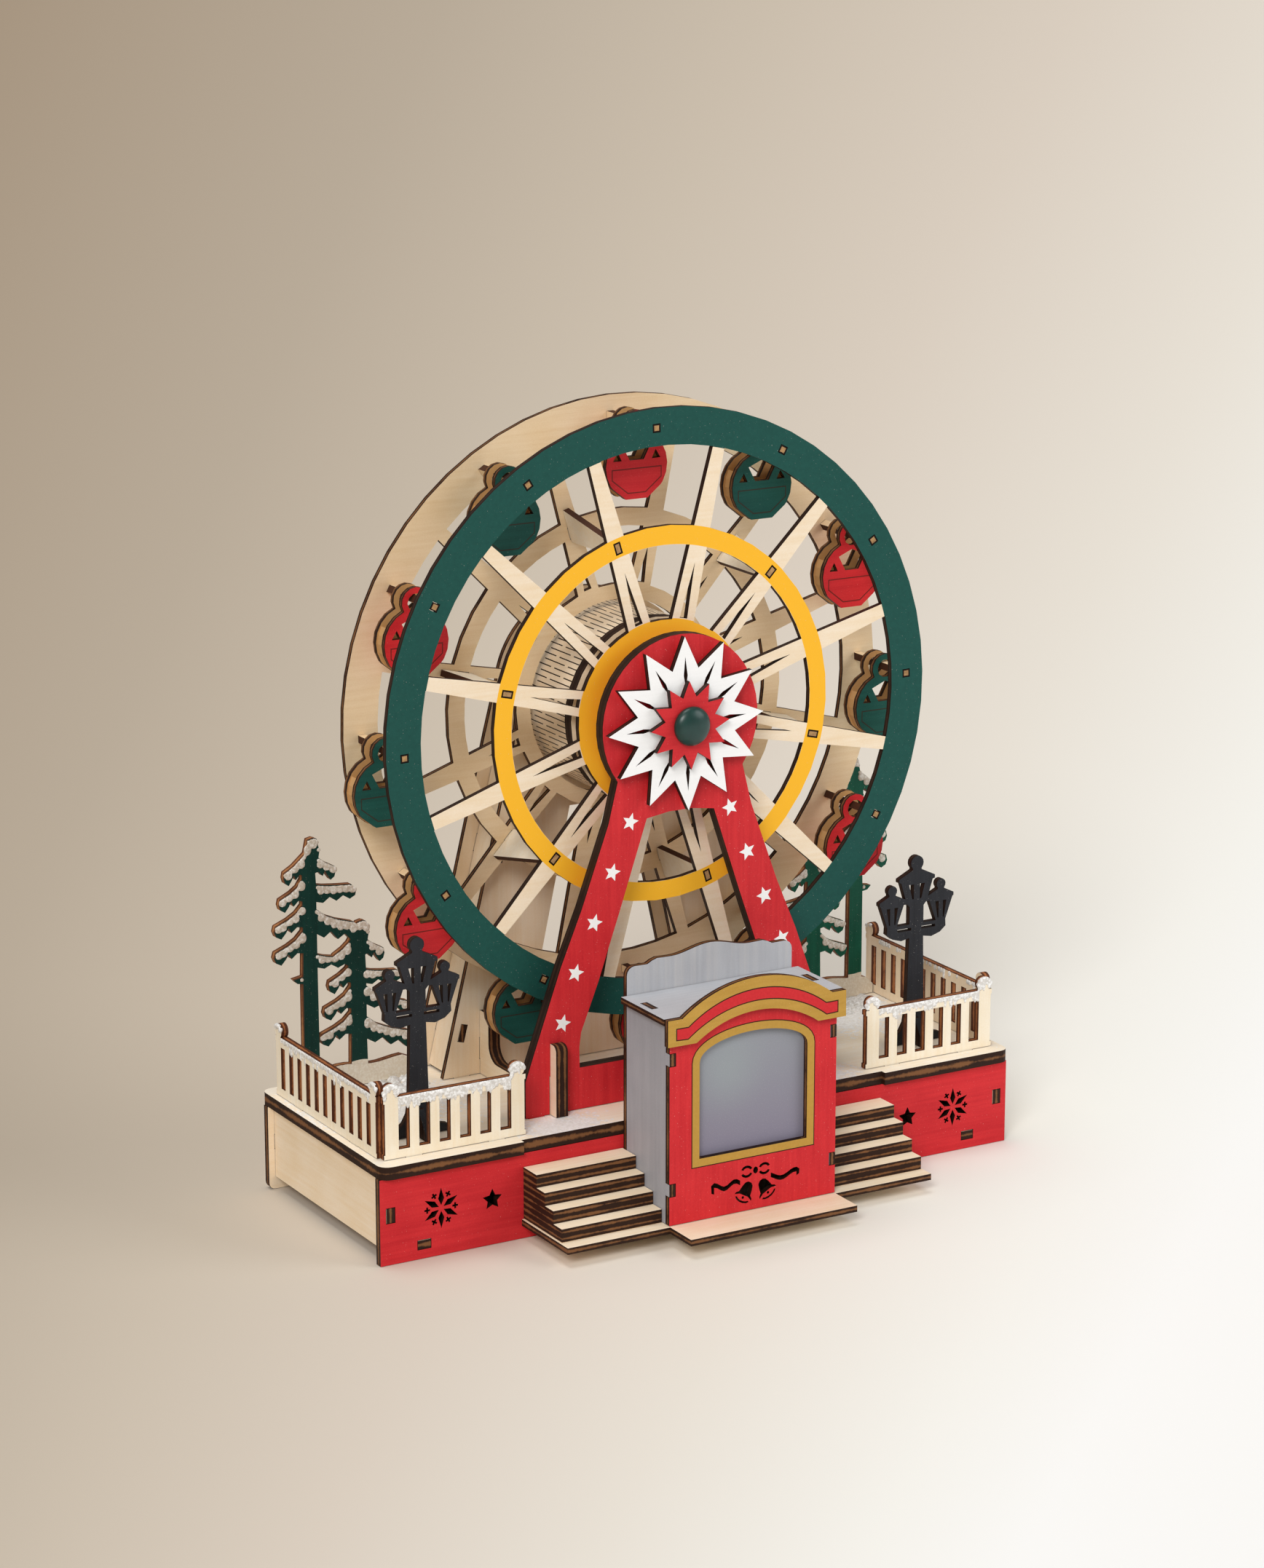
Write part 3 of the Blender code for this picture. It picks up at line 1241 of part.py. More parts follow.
def fences(paint):
    """Front fences beside the booth and side fences along both ends."""
    end = fence_end(FENCE_INNER, FENCE_SLOTS, FENCE_PITCH, FENCE_SLOT_WIDTH, FENCE_POST)
    outline = fence_outline(FENCE_INNER, end, FENCE_POST, fence_tabs())
    holes = fence_holes(FENCE_INNER + FENCE_POST, FENCE_SLOTS, FENCE_PITCH, FENCE_SLOT_WIDTH)
    long_end = fence_end(SIDE_FENCE_FRONT, SIDE_FENCE_SLOTS, SIDE_FENCE_PITCH,
                         SIDE_FENCE_SLOT_WIDTH, SIDE_FENCE_POST)
    long_outline = fence_outline(SIDE_FENCE_FRONT, long_end, SIDE_FENCE_POST, side_fence_tabs())
    long_holes = fence_holes(SIDE_FENCE_FRONT + SIDE_FENCE_POST, SIDE_FENCE_SLOTS,
                             SIDE_FENCE_PITCH, SIDE_FENCE_SLOT_WIDTH)
    for side, word in ((-1, "left"), (1, "right")):
        name = "fence_front_" + word
        cut = [flipped(hole, side) for hole in holes]
        mesh = sheet(name, flipped(outline, side), cut, FENCE_PLY)
        stand(name, mesh, paint, FENCE_FACE, FENCE_PLY)
        name = "fence_side_" + word
        x = side * (HALF - SIDE_FENCE_INSET - FENCE_PLY / 2)
        side_on(name, sheet(name, long_outline, long_holes, FENCE_PLY), paint, x)


def lantern_top(place, low, half, ball, steps):
    """The right half of a lantern's eaves, roof and ball, about a place."""
    eaves = low + LAMP_EAVES
    roof = eaves + half * 0.36
    points = [(place + half, low + 0.0003), (place + half, eaves), (place + ball * 0.72, roof)]
    points += arc(place, roof + ball * 0.95, ball, -46, 90, steps)
    return points


def lantern_panes(place, low, high, half):
    """Two slender panes beside a lantern's middle bar."""
    panes = []
    for side in (-1, 1):
        pane = [(side * half * 0.17, low), (side * half * 0.25, low)]
        pane += [(side * half * 0.44, high), (side * half * 0.17, high)]
        panes.append([(place + x, y) for x, y in pane])
    return panes


def lamp_outline():
    """The lamp post's right half: foot, post, arm, side lantern and top lantern."""
    base = DECK_TOP
    low = base + LAMP_SIDE_LOW
    side = LAMP_SIDE_PLACE
    right = [(TAB_WIDTH / 2, DECK_LOW), (TAB_WIDTH / 2, STAND), (LAMP_FOOT_HALF, STAND)]
    for step in range(5):
        angle = math.radians(90 * step / 4)
        across = LAMP_FOOT_HALF - (LAMP_FOOT_HALF - LAMP_POST_HALF) * math.sin(angle)
        right.append((across, base + 0.0035 + (LAMP_FOOT_TOP - 0.0035) * (1 - math.cos(angle))))
    right.append((LAMP_NECK_HALF, low - LAMP_ARM_DEPTH))
    right += [(side * 0.62, low - LAMP_ARM_DEPTH - 0.0009), (side * 0.98, low - LAMP_ARM_DEPTH + 0.0006)]
    right += [(side + LAMP_SIDE_BOTTOM + 0.0002, low - LAMP_ARM_DEPTH + 0.0032)]
    right.append((side + LAMP_SIDE_BOTTOM, low))
    high = base + LAMP_SIDE_HIGH
    right.append((side + LAMP_SIDE_HALF - 0.0006, high))
    right += lantern_top(side, high, LAMP_SIDE_HALF, LAMP_SIDE_BALL, 5)
    inner = lantern_top(0, high, LAMP_SIDE_HALF, LAMP_SIDE_BALL, 5)[2:-1]
    right += [(side - x, y) for x, y in reversed(inner)]
    top_low = base + LAMP_TOP_LOW
    top_high = base + LAMP_TOP_HIGH
    meet = high + LAMP_EAVES
    share = (meet - top_low) / (top_high - top_low)
    right.append((LAMP_TOP_BOTTOM + (LAMP_TOP_HALF - LAMP_TOP_BOTTOM) * share, meet))
    right.append((LAMP_TOP_HALF - 0.0012, top_high))
    right += lantern_top(0, top_high, LAMP_TOP_HALF, LAMP_TOP_BALL, 6)
    return right


def lamps(paint):
    """Two lamp posts, each a flat post with three lanterns and a crossing foot."""
    base = DECK_TOP
    right = lamp_outline()
    outline = right + flipped(reversed(right[:-1]))
    high = base + LAMP_SIDE_HIGH
    low = base + LAMP_SIDE_LOW
    holes = lantern_panes(0, base + LAMP_TOP_LOW + 0.001, base + LAMP_TOP_HIGH - 0.0014, LAMP_TOP_HALF)
    for side in (-1, 1):
        holes += lantern_panes(side * LAMP_SIDE_PLACE, low + 0.001, high - 0.0014, LAMP_SIDE_HALF)
        bay = [(LAMP_NECK_HALF, low), (LAMP_SIDE_PLACE - LAMP_SIDE_BOTTOM, low)]
        bay += [(LAMP_SIDE_PLACE - LAMP_SIDE_HALF + 0.0007, high - 0.0006)]
        bay += [(LAMP_TOP_BOTTOM - 0.0004, high - 0.0006), (LAMP_NECK_HALF, base + LAMP_TOP_LOW - 0.0025)]
        holes.append(flipped(bay, side))
        slot = box(LAMP_NECK_HALF - 0.001, LAMP_SIDE_PLACE - 0.003, low - 0.0030, low - 0.0017)
        holes.append(flipped(slot, side))
    foot = [(-LAMP_CROSS_HALF, STAND), (LAMP_CROSS_HALF, STAND), (LAMP_CROSS_HALF, base + 0.0035)]
    foot += [(0.0035, base + LAMP_FOOT_TOP - 0.002), (-0.0035, base + LAMP_FOOT_TOP - 0.002)]
    foot.append((-LAMP_CROSS_HALF, base + 0.0035))
    middle = LAMP_FACE + PLY / 2
    for side, word in ((-1, "left"), (1, "right")):
        name = "lamp_" + word
        post = stand(name, sheet(name, outline, holes), paint, LAMP_FACE, PLY, side * LAMP_PLACE)
        cross = [(middle + x, y) for x, y in foot]
        joined(post, [side_on("cross", sheet("cross", cross), paint, side * LAMP_PLACE)])


def spoke_angle(radius):
    """Half the angle that a spoke covers at a radius, in degrees."""
    share = (radius - HUB_RADIUS) / (RIM_INNER - HUB_RADIUS)
    half = SPOKE_HALF_AT_HUB + (SPOKE_HALF_AT_RIM - SPOKE_HALF_AT_HUB) * share
    return math.degrees(math.asin(half / radius))


def wheel_bay(inner, outer, middle, steps):
    """The opening between two rings and two spokes."""
    reach = 180 / SPOKES
    far = reach - spoke_angle(outer)
    near = reach - spoke_angle(inner)
    points = polar_arc(outer, middle - far, middle + far, steps)
    return points + polar_arc(inner, middle + near, middle - near, max(2, steps - 2))


def wheel_holes(hub, mid_inner, mid_outer, bar_holes):
    """All the openings of a wheel plate: bays, slits and slots."""
    pitch = 360 / SPOKES
    holes = []
    for step in range(SPOKES):
        middle = step * pitch
        holes.append(wheel_bay(mid_outer, RIM_INNER, middle, 5))
        holes.append(wheel_bay(hub, mid_inner, middle, 4))
        spoke = middle + pitch / 2
        wide = math.degrees(math.asin(SLIT_HALF / hub))
        base = hub + SLIT_BASE_GAP
        holes.append([polar(base, spoke - wide), polar(SLIT_TIP, spoke), polar(base, spoke + wide)])
        if bar_holes:
            reach = BAR_SIDE / 2 + GAP
            square = box(-reach, reach, BAR_RADIUS - reach, BAR_RADIUS + reach)
            holes.append(tilted(square, 0, 0, -middle))
        if step % 2 == 1:
            reach = PLY / 2 + GAP
            slot = box(-reach, reach, SPACER_TAB_INNER - GAP, SPACER_TAB_OUTER + GAP)
            holes.append(tilted(slot, 0, 0, -spoke))
    return holes


def wheel_front(paint, hub):
    """The painted front plate of the wheel."""
    outline = polar_arc(RIM_OUTER, 0, 360, 60)[:-1]
    holes = wheel_holes(HUB_RADIUS, MID_INNER, MID_OUTER, True)
    holes.append(circle(0, 0, AXLE_RADIUS + GAP, 16))
    mesh = sheet("wheel_front", outline, holes)
    stand("wheel_front", mesh, paint, FRONT_PLATE_FACE, parent=hub)


def wheel_rear(paint, hub):
    """The rear plate, whose open middle runs round the drum, with the twelve gondola bars."""
    outline = polar_arc(RIM_OUTER, 0, 360, 60)[:-1]
    holes = wheel_holes(REAR_RING_OUTER, REAR_MID_INNER, REAR_MID_OUTER, False)
    holes.append(circle(0, 0, REAR_RING_INNER, 48))
    mesh = sheet("wheel_rear", outline, holes)
    plate = stand("wheel_rear", mesh, paint, REAR_PLATE_FACE, parent=hub)
    bars = []
    start = FRONT_PLATE_FACE
    length = REAR_PLATE_FACE + PLY - start
    for step in range(SPOKES):
        angle = -step * 360 / SPOKES
        reach = BAR_SIDE / 2
        square = box(-reach, reach, BAR_RADIUS - reach, BAR_RADIUS + reach)
        mesh = sheet("bar", tilted(square, 0, 0, angle), (), length)
        bars.append(stand("bar", mesh, paint, start, length, parent=hub))
    joined(plate, bars)


def spacers(paint, hub):
    """Six panels that hold the wheel's two plates apart, tabbed into both."""
    front = FRONT_PLATE_FACE
    back = REAR_PLATE_FACE + PLY
    start = front + PLY + GAP
    end = REAR_PLATE_FACE - GAP
    outline = [(SPACER_TAB_INNER, front), (SPACER_TAB_OUTER, front), (SPACER_TAB_OUTER, start)]
    outline += [(SPACER_FRONT_OUTER, start), (SPACER_REAR_OUTER, end), (SPACER_TAB_OUTER, end)]
    outline += [(SPACER_TAB_OUTER, back), (SPACER_TAB_INNER, back), (SPACER_TAB_INNER, end)]
    outline += [(SPACER_INNER, end), (SPACER_INNER, start), (SPACER_TAB_INNER, start)]
    mesh = sheet("wheel_spacer", outline)
    pitch = 360 / SPOKES
    for step in range(SPOKES // 2):
        turn = math.radians((2 * step + 1) * pitch + pitch / 2 - 90)
        add(f"wheel_spacer_{step + 1}", mesh, paint, (0, 0, 0), (0, turn, 0), hub)


def axle(paint, hub):
    """The axle, with collars that keep the frame, the wheel and the drum apart."""
    bare = AXLE_RADIUS
    collar = COLLAR_RADIUS
    start = RED_STAR_FACE
    white_back = WHITE_STAR_FACE + PLY
    profile = [(0, start), (bare, start), (bare, white_back + GAP), (collar, white_back + GAP)]
    profile += [(collar, FRAME_FACE - GAP), (bare, FRAME_FACE - GAP), (bare, FRAME_BACK + GAP)]
    profile += [(collar, FRAME_BACK + GAP), (collar, FRONT_PLATE_FACE - GAP)]
    profile.append((bare, FRONT_PLATE_FACE - GAP))
    profile += [(bare, FRONT_PLATE_FACE + PLY + GAP), (collar, FRONT_PLATE_FACE + PLY + GAP)]
    profile += [(collar, DRUM_FACE - GAP), (bare, DRUM_FACE - GAP), (bare, AXLE_END), (0, AXLE_END)]
    add("axle", lathe("axle", profile, 16, False), paint, parent=hub)


def knob(paint, hub):
    """The domed knob at the middle of the stars."""
    back = RED_STAR_FACE - GAP
    profile = [(0, back), (KNOB_RADIUS, back)]
    for step in range(1, 6):
        angle = math.radians(90 * step / 6)
        along = back - 0.0012 - (KNOB_LENGTH - 0.0012) * math.sin(angle)
        profile.append((KNOB_RADIUS * math.cos(angle), along))
    profile.insert(2, (KNOB_RADIUS, back - 0.0012))
    profile.append((0, back - KNOB_LENGTH))
    add("knob", lathe("knob", profile, 24, False), paint, parent=hub)


def star_slit(turn):
    """A slender slit in the white star, pointing at one of its tips."""
    holes = []
    near = math.degrees(STAR_SLIT_START_HALF / STAR_SLIT_START)
    wide = math.degrees(STAR_SLIT_HALF / STAR_SLIT_WIDE_AT)
    holes += [polar(STAR_SLIT_START, turn - near), polar(STAR_SLIT_WIDE_AT, turn - wide)]
    holes += [polar(STAR_SLIT_END, turn), polar(STAR_SLIT_WIDE_AT, turn + wide)]
    holes.append(polar(STAR_SLIT_START, turn + near))
    return holes


def stars(white, red, hub):
    """The white and the red star that turn with the wheel, in front of the frame."""
    bore = circle(0, 0, AXLE_RADIUS + GAP, 16)
    outline = star(0, 0, WHITE_STAR_RADIUS, WHITE_STAR_INNER, STAR_POINTS)
    slits = [star_slit(360 / STAR_POINTS * step) for step in range(STAR_POINTS)]
    mesh = sheet("star_white", outline, [bore, *slits])
    stand("star_white", mesh, white, WHITE_STAR_FACE, parent=hub)
    outline = star(0, 0, RED_STAR_RADIUS, RED_STAR_INNER, STAR_POINTS)
    stand("star_red", sheet("star_red", outline, [bore]), red, RED_STAR_FACE, parent=hub)


def pod_outline(ring):
    """A gondola plate: round pod with a faceted floor, hung from a ring, about the bar's middle."""
    middle = -RING_DROP - POD_DROP
    left = [(-POD_FLOOR_HALF, middle - POD_FLOOR), (-POD_BILGE_HALF, middle - POD_BILGE_LIFT)]
    start = 180 + math.degrees(math.atan2(POD_BILGE_LIFT, POD_BILGE_HALF))
    neck = (ring ** 2 - POD_RADIUS ** 2 + POD_DROP ** 2) / (2 * POD_DROP)
    half = math.sqrt(ring ** 2 - neck ** 2)
    join = 90 + math.degrees(math.asin(half / POD_RADIUS))
    left += arc(0, middle, POD_RADIUS, start - 6, join, 6)
    meet = 180 + math.degrees(math.asin(neck / ring))
    left += arc(0, -RING_DROP, ring, meet, 90, 5)[1:]
    return left + flipped(reversed(left[:-1]))


def pod_windows():
    """The window and the two side triangles of a gondola plate."""
    middle = -RING_DROP - POD_DROP
    half = POD_WINDOW_HALF
    window = [(-half / 2, middle + 0.0026), (half / 2, middle + 0.0026), (half, middle + 0.0093)]
    window.append((0, middle + 0.0123))
    window.append((-half, middle + 0.0093))
    right = [(0.0077, middle + 0.0026), (0.0122, middle + 0.0027), (0.0097, middle + 0.0067)]
    return [window, right, flipped(right)]


def gondola(number, paint):
    """Two pod plates joined by a bent wall, hanging on the wheel's bar."""
    angle = REST_ANGLE + (number - 1) * 360 / SPOKES
    x, z = polar(BAR_RADIUS, angle)
    name = f"gondola_{number:02d}"
    z += AXLE_HEIGHT
    eye = circle(0, -RING_DROP, RING_INNER, 10)
    holes = [eye, *pod_windows()]
    front = stand(name, sheet(name, pod_outline(RING_OUTER), holes), paint, GONDOLA_FACE, PLY, x, z)
    rear_face = GONDOLA_FACE + GONDOLA_DEPTH - PLY
    rear = stand("rear", sheet("rear", pod_outline(RING_OUTER), holes), paint, rear_face, PLY, x, z)
    middle = -RING_DROP - POD_DROP
    outer = POD_RADIUS - 0.0007
    inner = outer - POD_WALL
    wall = arc(0, middle, outer, 150, 196, 3)
    wall.append((-POD_BILGE_HALF + 0.0007, middle - POD_BILGE_LIFT))
    wall.append((-POD_FLOOR_HALF, middle - POD_FLOOR + 0.0007))
    wall += flipped(reversed(wall))
    lining = arc(0, middle, inner, 30, -16, 3)
    lining += [(POD_BILGE_HALF - 0.0022, middle - POD_BILGE_LIFT + 0.002)]
    lining += [(POD_FLOOR_HALF - 0.001, middle - POD_FLOOR + 0.0007 + POD_WALL)]
    lining += flipped(reversed(lining))
    start = GONDOLA_FACE + PLY * 0.5
    length = GONDOLA_DEPTH - PLY
    hull = stand("hull", sheet("hull", wall + lining, (), length), paint, start, length, x, z)
    joined(front, [rear, hull])


def build():
    """Everything, from the base up."""
    red = finish("red_paint", "C4202F", 0.55)
    green = finish("green_paint", "1C4B48", 0.55)
    pine = finish("pine_green_paint", "12332F", 0.6)
    yellow = finish("yellow_paint", "FDB92B", 0.5)
    gold = finish("gold_paint", "C69A45", 0.45)
    grey = finish("grey_paint", "9C9FA8", 0.55)
    white = finish("white_paint", "F4F3F1", 0.5)
    black = finish("black_paint", "2A2B2F", 0.5)
    ply = finish("birch_ply", "F3D8B2", 0.6)
    frosted = finish("frosted_acrylic", "AEB4C4", 0.35)
    steel = finish("steel", "B9BCC2", 0.3, 1.0)
    plastic = finish("grey_plastic", "8E9196", 0.45)
    circuit = finish("circuit_board", "E9E6DA", 0.5)
    hub = bpy.data.objects.new("wheel_hub", None)
    bpy.context.scene.collection.objects.link(hub)
    hub.location = (0, -MID_DEPTH, AXLE_HEIGHT)
    hub.rotation_euler = (0, math.radians(REST_ANGLE), 0)
    base_front(red)
    base_back(ply)
    base_sides(ply)
    base_floor(ply)
    deck(ply)
    platform(ply)
    stairs(ply)
    booth_front(red)
    booth_sides(grey)
    booth_roof(grey)
    booth_back(grey)
    booth_crown(gold)
    booth_pane(frosted)
    booth_lamp_board(circuit)
    a_frame(red)
    walls(ply)
    tower_board("tower_front_board", ply, TOWER_FACE, TOWER_FOOT, 0.004, True)
    tower_board("tower_back_board", ply, TOWER_BACK_FACE, TOWER_BACK_FOOT, 0.004, False)
    tower_sides(ply)
    drum(ply)
    motor(plastic)
    battery_box(plastic)
    switch(black)
    trees(pine)
    fences(ply)
    lamps(black)
    wheel_front(green, hub)
    wheel_rear(ply, hub)
    spacers(ply, hub)
    axle(steel, hub)
    knob(green, hub)
    stars(white, red, hub)
    for number in range(1, SPOKES + 1):
        gondola(number, red if number % 2 else green)
    bpy.context.view_layer.update()


for old in list(bpy.data.objects):
    bpy.data.objects.remove(old, do_unlink=True)
build()
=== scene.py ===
# %% [markdown]
# # A light-up wooden ferris wheel
#
# The toy is a kit of thin birch plywood sheets, cut with a laser, painted and put together
# with tabs and slots. The solid model of every sheet already exists, so this lesson dresses
# it: it gives each sheet its wood, its paint and its burnt edge, and adds the thin things
# that sit on the sheets, such as painted bands, little stars, a turned knob and snow.

import math
import random

import bpy
from mathutils import Matrix, Vector


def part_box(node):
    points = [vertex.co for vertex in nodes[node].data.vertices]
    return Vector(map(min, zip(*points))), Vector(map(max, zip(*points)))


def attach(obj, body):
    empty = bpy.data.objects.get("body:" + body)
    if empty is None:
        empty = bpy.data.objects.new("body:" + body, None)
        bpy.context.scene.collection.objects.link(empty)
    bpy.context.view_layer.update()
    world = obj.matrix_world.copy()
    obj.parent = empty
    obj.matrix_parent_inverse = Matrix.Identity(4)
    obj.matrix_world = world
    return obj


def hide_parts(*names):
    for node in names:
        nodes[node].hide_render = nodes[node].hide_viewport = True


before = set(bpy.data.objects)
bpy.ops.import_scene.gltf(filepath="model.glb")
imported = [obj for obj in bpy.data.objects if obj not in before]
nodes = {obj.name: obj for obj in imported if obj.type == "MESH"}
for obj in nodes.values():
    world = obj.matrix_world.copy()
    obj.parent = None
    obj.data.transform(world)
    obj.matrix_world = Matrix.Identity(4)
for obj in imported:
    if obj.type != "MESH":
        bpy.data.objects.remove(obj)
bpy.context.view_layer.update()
scene = bpy.context.scene

# %% [markdown]
# The camera comes before the finishes, because everything is judged through it. The picture
# was taken from the left of the booth and a little above, with a long lens, so the upright
# edges hardly lean. A long lens far away gives that calm look.

# %% Camera
AIM_AZIMUTH = -30.035
AIM_ELEVATION = 14.772
camera_data = bpy.data.cameras.new("long_lens")
camera_data.sensor_fit = "VERTICAL"
camera_data.sensor_height = 36
camera_data.lens = 98.49
camera_data.clip_end = 60
camera = bpy.data.objects.new("long_lens", camera_data)
scene.collection.objects.link(camera)
camera.location = (-0.94863, -1.60412, 0.68064)
camera.rotation_euler = (math.radians(90 - AIM_ELEVATION), 0, math.radians(AIM_AZIMUTH))
scene.camera = camera
print("camera distance in metres:", round(camera.location.length, 2))

# %% [markdown]
# Colours are written as the hex values that a paint picker shows. A shader works with linear
# light, so one function turns each hex value into what the shader needs. A second one adds a
# node and takes its inputs in order or by name: numbers, colours, or earlier nodes, whose
# first output it then links. Two more make a material and put it on the parts that wear it.

# %% Colour and node helpers
def linear(code):
    """A hex value as the four linear numbers that a shader takes."""
    values = []
    for start in (0, 2, 4):
        part = int(code[start:start + 2], 16) / 255
        values.append(part / 12.92 if part <= 0.04045 else ((part + 0.055) / 1.055) ** 2.4)
    return (*values, 1.0)


def put(tree, kind, settings=None, inputs=None):
    """Adds a node, sets it up and gives its inputs their values or links to earlier nodes."""
    item = tree.nodes.new(f"ShaderNode{kind}")
    for key, value in (settings or {}).items():
        setattr(item, key, value)
    pairs = inputs.items() if isinstance(inputs, dict) else enumerate(inputs or [])
    for key, value in pairs:
        if isinstance(value, bpy.types.Node):
            value = next(output for output in value.outputs if output.enabled)
        if isinstance(value, bpy.types.NodeSocket):
            tree.links.new(value, item.inputs[key])
        else:
            item.inputs[key].default_value = value
    return item


def blank(name, roughness, metallic=0.0, gloss=0.16):
    """A new material with its tree and its shader. Bare wood and matt paint have little gloss."""
    material = bpy.data.materials.new(name)
    material.use_nodes = True
    shader = material.node_tree.nodes["Principled BSDF"]
    shader.inputs["Roughness"].default_value = roughness
    shader.inputs["Metallic"].default_value = metallic
    shader.inputs["Specular IOR Level"].default_value = gloss
    return material, material.node_tree, shader


def dress(names, material):
    """Gives the material to the named parts."""
    for name in names:
        slots = nodes[name].material_slots
        for slot in slots:
            slot.material = material
        if not slots:
            nodes[name].data.materials.append(material)


print("white is", linear("FFFFFF"))

# %% [markdown]
# The table under the toy is one wide sweep of pale paper. Window light falls across it, so it
# runs from a warm beige at the far left to nearly white at the near right. That fall of light
# is painted into the paper's colour, which changes with the place on the table, and the lamps
# only add the toy's soft shadow. The place is measured along two directions on the table, and
# dividing one by the other makes the painted light fan out from a far point, as the light
# does. The sweep isn't part of the toy.

# %% Floor
TO_RIGHT = (1.7833, -1.031, 0)
RIGHT_START = 0.6996
TO_BACK = (0.5005, 0.8657, 0)
BACK_START = 1.8635
NEAREST = 0.6
MIDDLE_SHARE = 0.2438
# Painted light: the paper's tones run from the shaded beige far left to the lit white near right.
PAINTED_LIGHT_TONES = ((0.02, "A69581"), (0.23, "B8AB9A"), (0.385, "CBBFAF"), (0.53, "DACFC2"),
               (0.68, "E8E2D8"), (0.82, "F5F4EF"), (0.9, "FAFAF9"))
bpy.ops.object.select_all(action="DESELECT")
bpy.ops.mesh.primitive_plane_add(size=60, location=(0, 0, -0.0002))
floor = bpy.context.object
floor.name = "paper_sweep"
paper, tree, shader = blank("matt_paper_with_painted_light", 0.95)
spot = put(tree, "TexCoord")
right = put(tree, "VectorMath", {"operation": "DOT_PRODUCT"}, [spot.outputs["Object"], TO_RIGHT])
right = put(tree, "Math", {"operation": "ADD"}, [right, RIGHT_START])
back = put(tree, "VectorMath", {"operation": "DOT_PRODUCT"}, [spot.outputs["Object"], TO_BACK])
back = put(tree, "Math", {"operation": "MAXIMUM"},
           [put(tree, "Math", {"operation": "ADD"}, [back, BACK_START]), NEAREST])
share = put(tree, "Math", {"operation": "ADD"},
            [put(tree, "Math", {"operation": "DIVIDE"}, [right, back]), MIDDLE_SHARE])
ramp = put(tree, "ValToRGB", None, {"Fac": share})
stops = ramp.color_ramp.elements
first, *others, last = PAINTED_LIGHT_TONES
for stop, (place, code) in ((stops[0], first), (stops[1], last)):
    stop.position = place
    stop.color = linear(code)
for place, code in others:
    stops.new(place).color = linear(code)
tree.links.new(ramp.outputs["Color"], shader.inputs["Base Color"])
shader.inputs["Specular IOR Level"].default_value = 0.1
floor.data.materials.append(paper)

# %% [markdown]
# Three very soft suns light the toy, as two windows and a skylight would: a strong one at the
# upper left in front, a weak one on the right and one from above. Suns light the far end of
# the table as much as the near end, which keeps the sweep even. The world fills the shadows
# with warm light.

# %% Lamps and world
def soft_sun(name, toward, strength, width, colour):
    """A sun that shines from a direction, as wide as a big window."""
    data = bpy.data.lights.new(name, "SUN")
    data.energy = strength
    data.angle = math.radians(width)
    data.color = colour
    item = bpy.data.objects.new(name, data)
    scene.collection.objects.link(item)
    item.rotation_euler = Vector(toward).to_track_quat("Z", "Y").to_euler()
    return item


soft_sun("window_left", (-1.75, -1.8, 1.8), 1.62, 22, (1.0, 0.985, 0.965))
soft_sun("window_right", (2.2, -1.7, 1.5), 0.85, 34, (0.97, 0.985, 1.0))
soft_sun("skylight", (-0.3, 0.3, 2.6), 1.08, 30, (1.0, 0.995, 0.985))
world = bpy.data.worlds.new("studio")
scene.world = world
world.use_nodes = True
world.node_tree.nodes["Background"].inputs["Color"].default_value = linear("F4F0EA")
world.node_tree.nodes["Background"].inputs["Strength"].default_value = 0.27
scene.view_settings.view_transform = "Standard"

# %% [markdown]
# ## Laser-cut birch plywood
#
# Birch plywood is peeled birch glued in thin layers. Its face is pale cream with faint long
# grain. The laser burns the cut edge nearly black-brown, and the middle layer, whose grain
# runs the other way, shows as a lighter, mottled line. One function makes this for every
# sheet: it asks which way the sheet faces, so that it knows a face from an edge, and where
# its front is, so that the layers sit right inside the sheet's thickness. A noise scale
# counts features per metre: 520 gives grain and soot of about 2 mm, 22 draws the grain out to
# 45 mm, 55 gives clouds of 18 mm, and 1500 gives flecks of two thirds of a millimetre.

# %% The plywood maker
AXES = {"X": (1, 0, 0), "Y": (0, 1, 0), "Z": (0, 0, 1)}
STRETCH = {"X": (22, 520, 520), "Y": (520, 22, 520), "Z": (520, 520, 22)}
BIRCH = ("F9E8D0", "F1D9B6")
# The rear wheel's birch is warmer: partly scorched birch, partly painted warm light in the front
# wheel's shade.
SCORCHED_AND_BOUNCE_LIT_BIRCH = ("F8E1BE", "ECCFA3")
CHAR = ("7E5535", "2E1C14")
RUST = ("A9693F", "56301F")
COAL = ("3F2B22", "281A15")
SQUARE = 0.75
SHEET = 0.003
BOX_SHEET = 0.004
FENCE_SHEET = 0.0036
TREE_SHEET = 0.0038


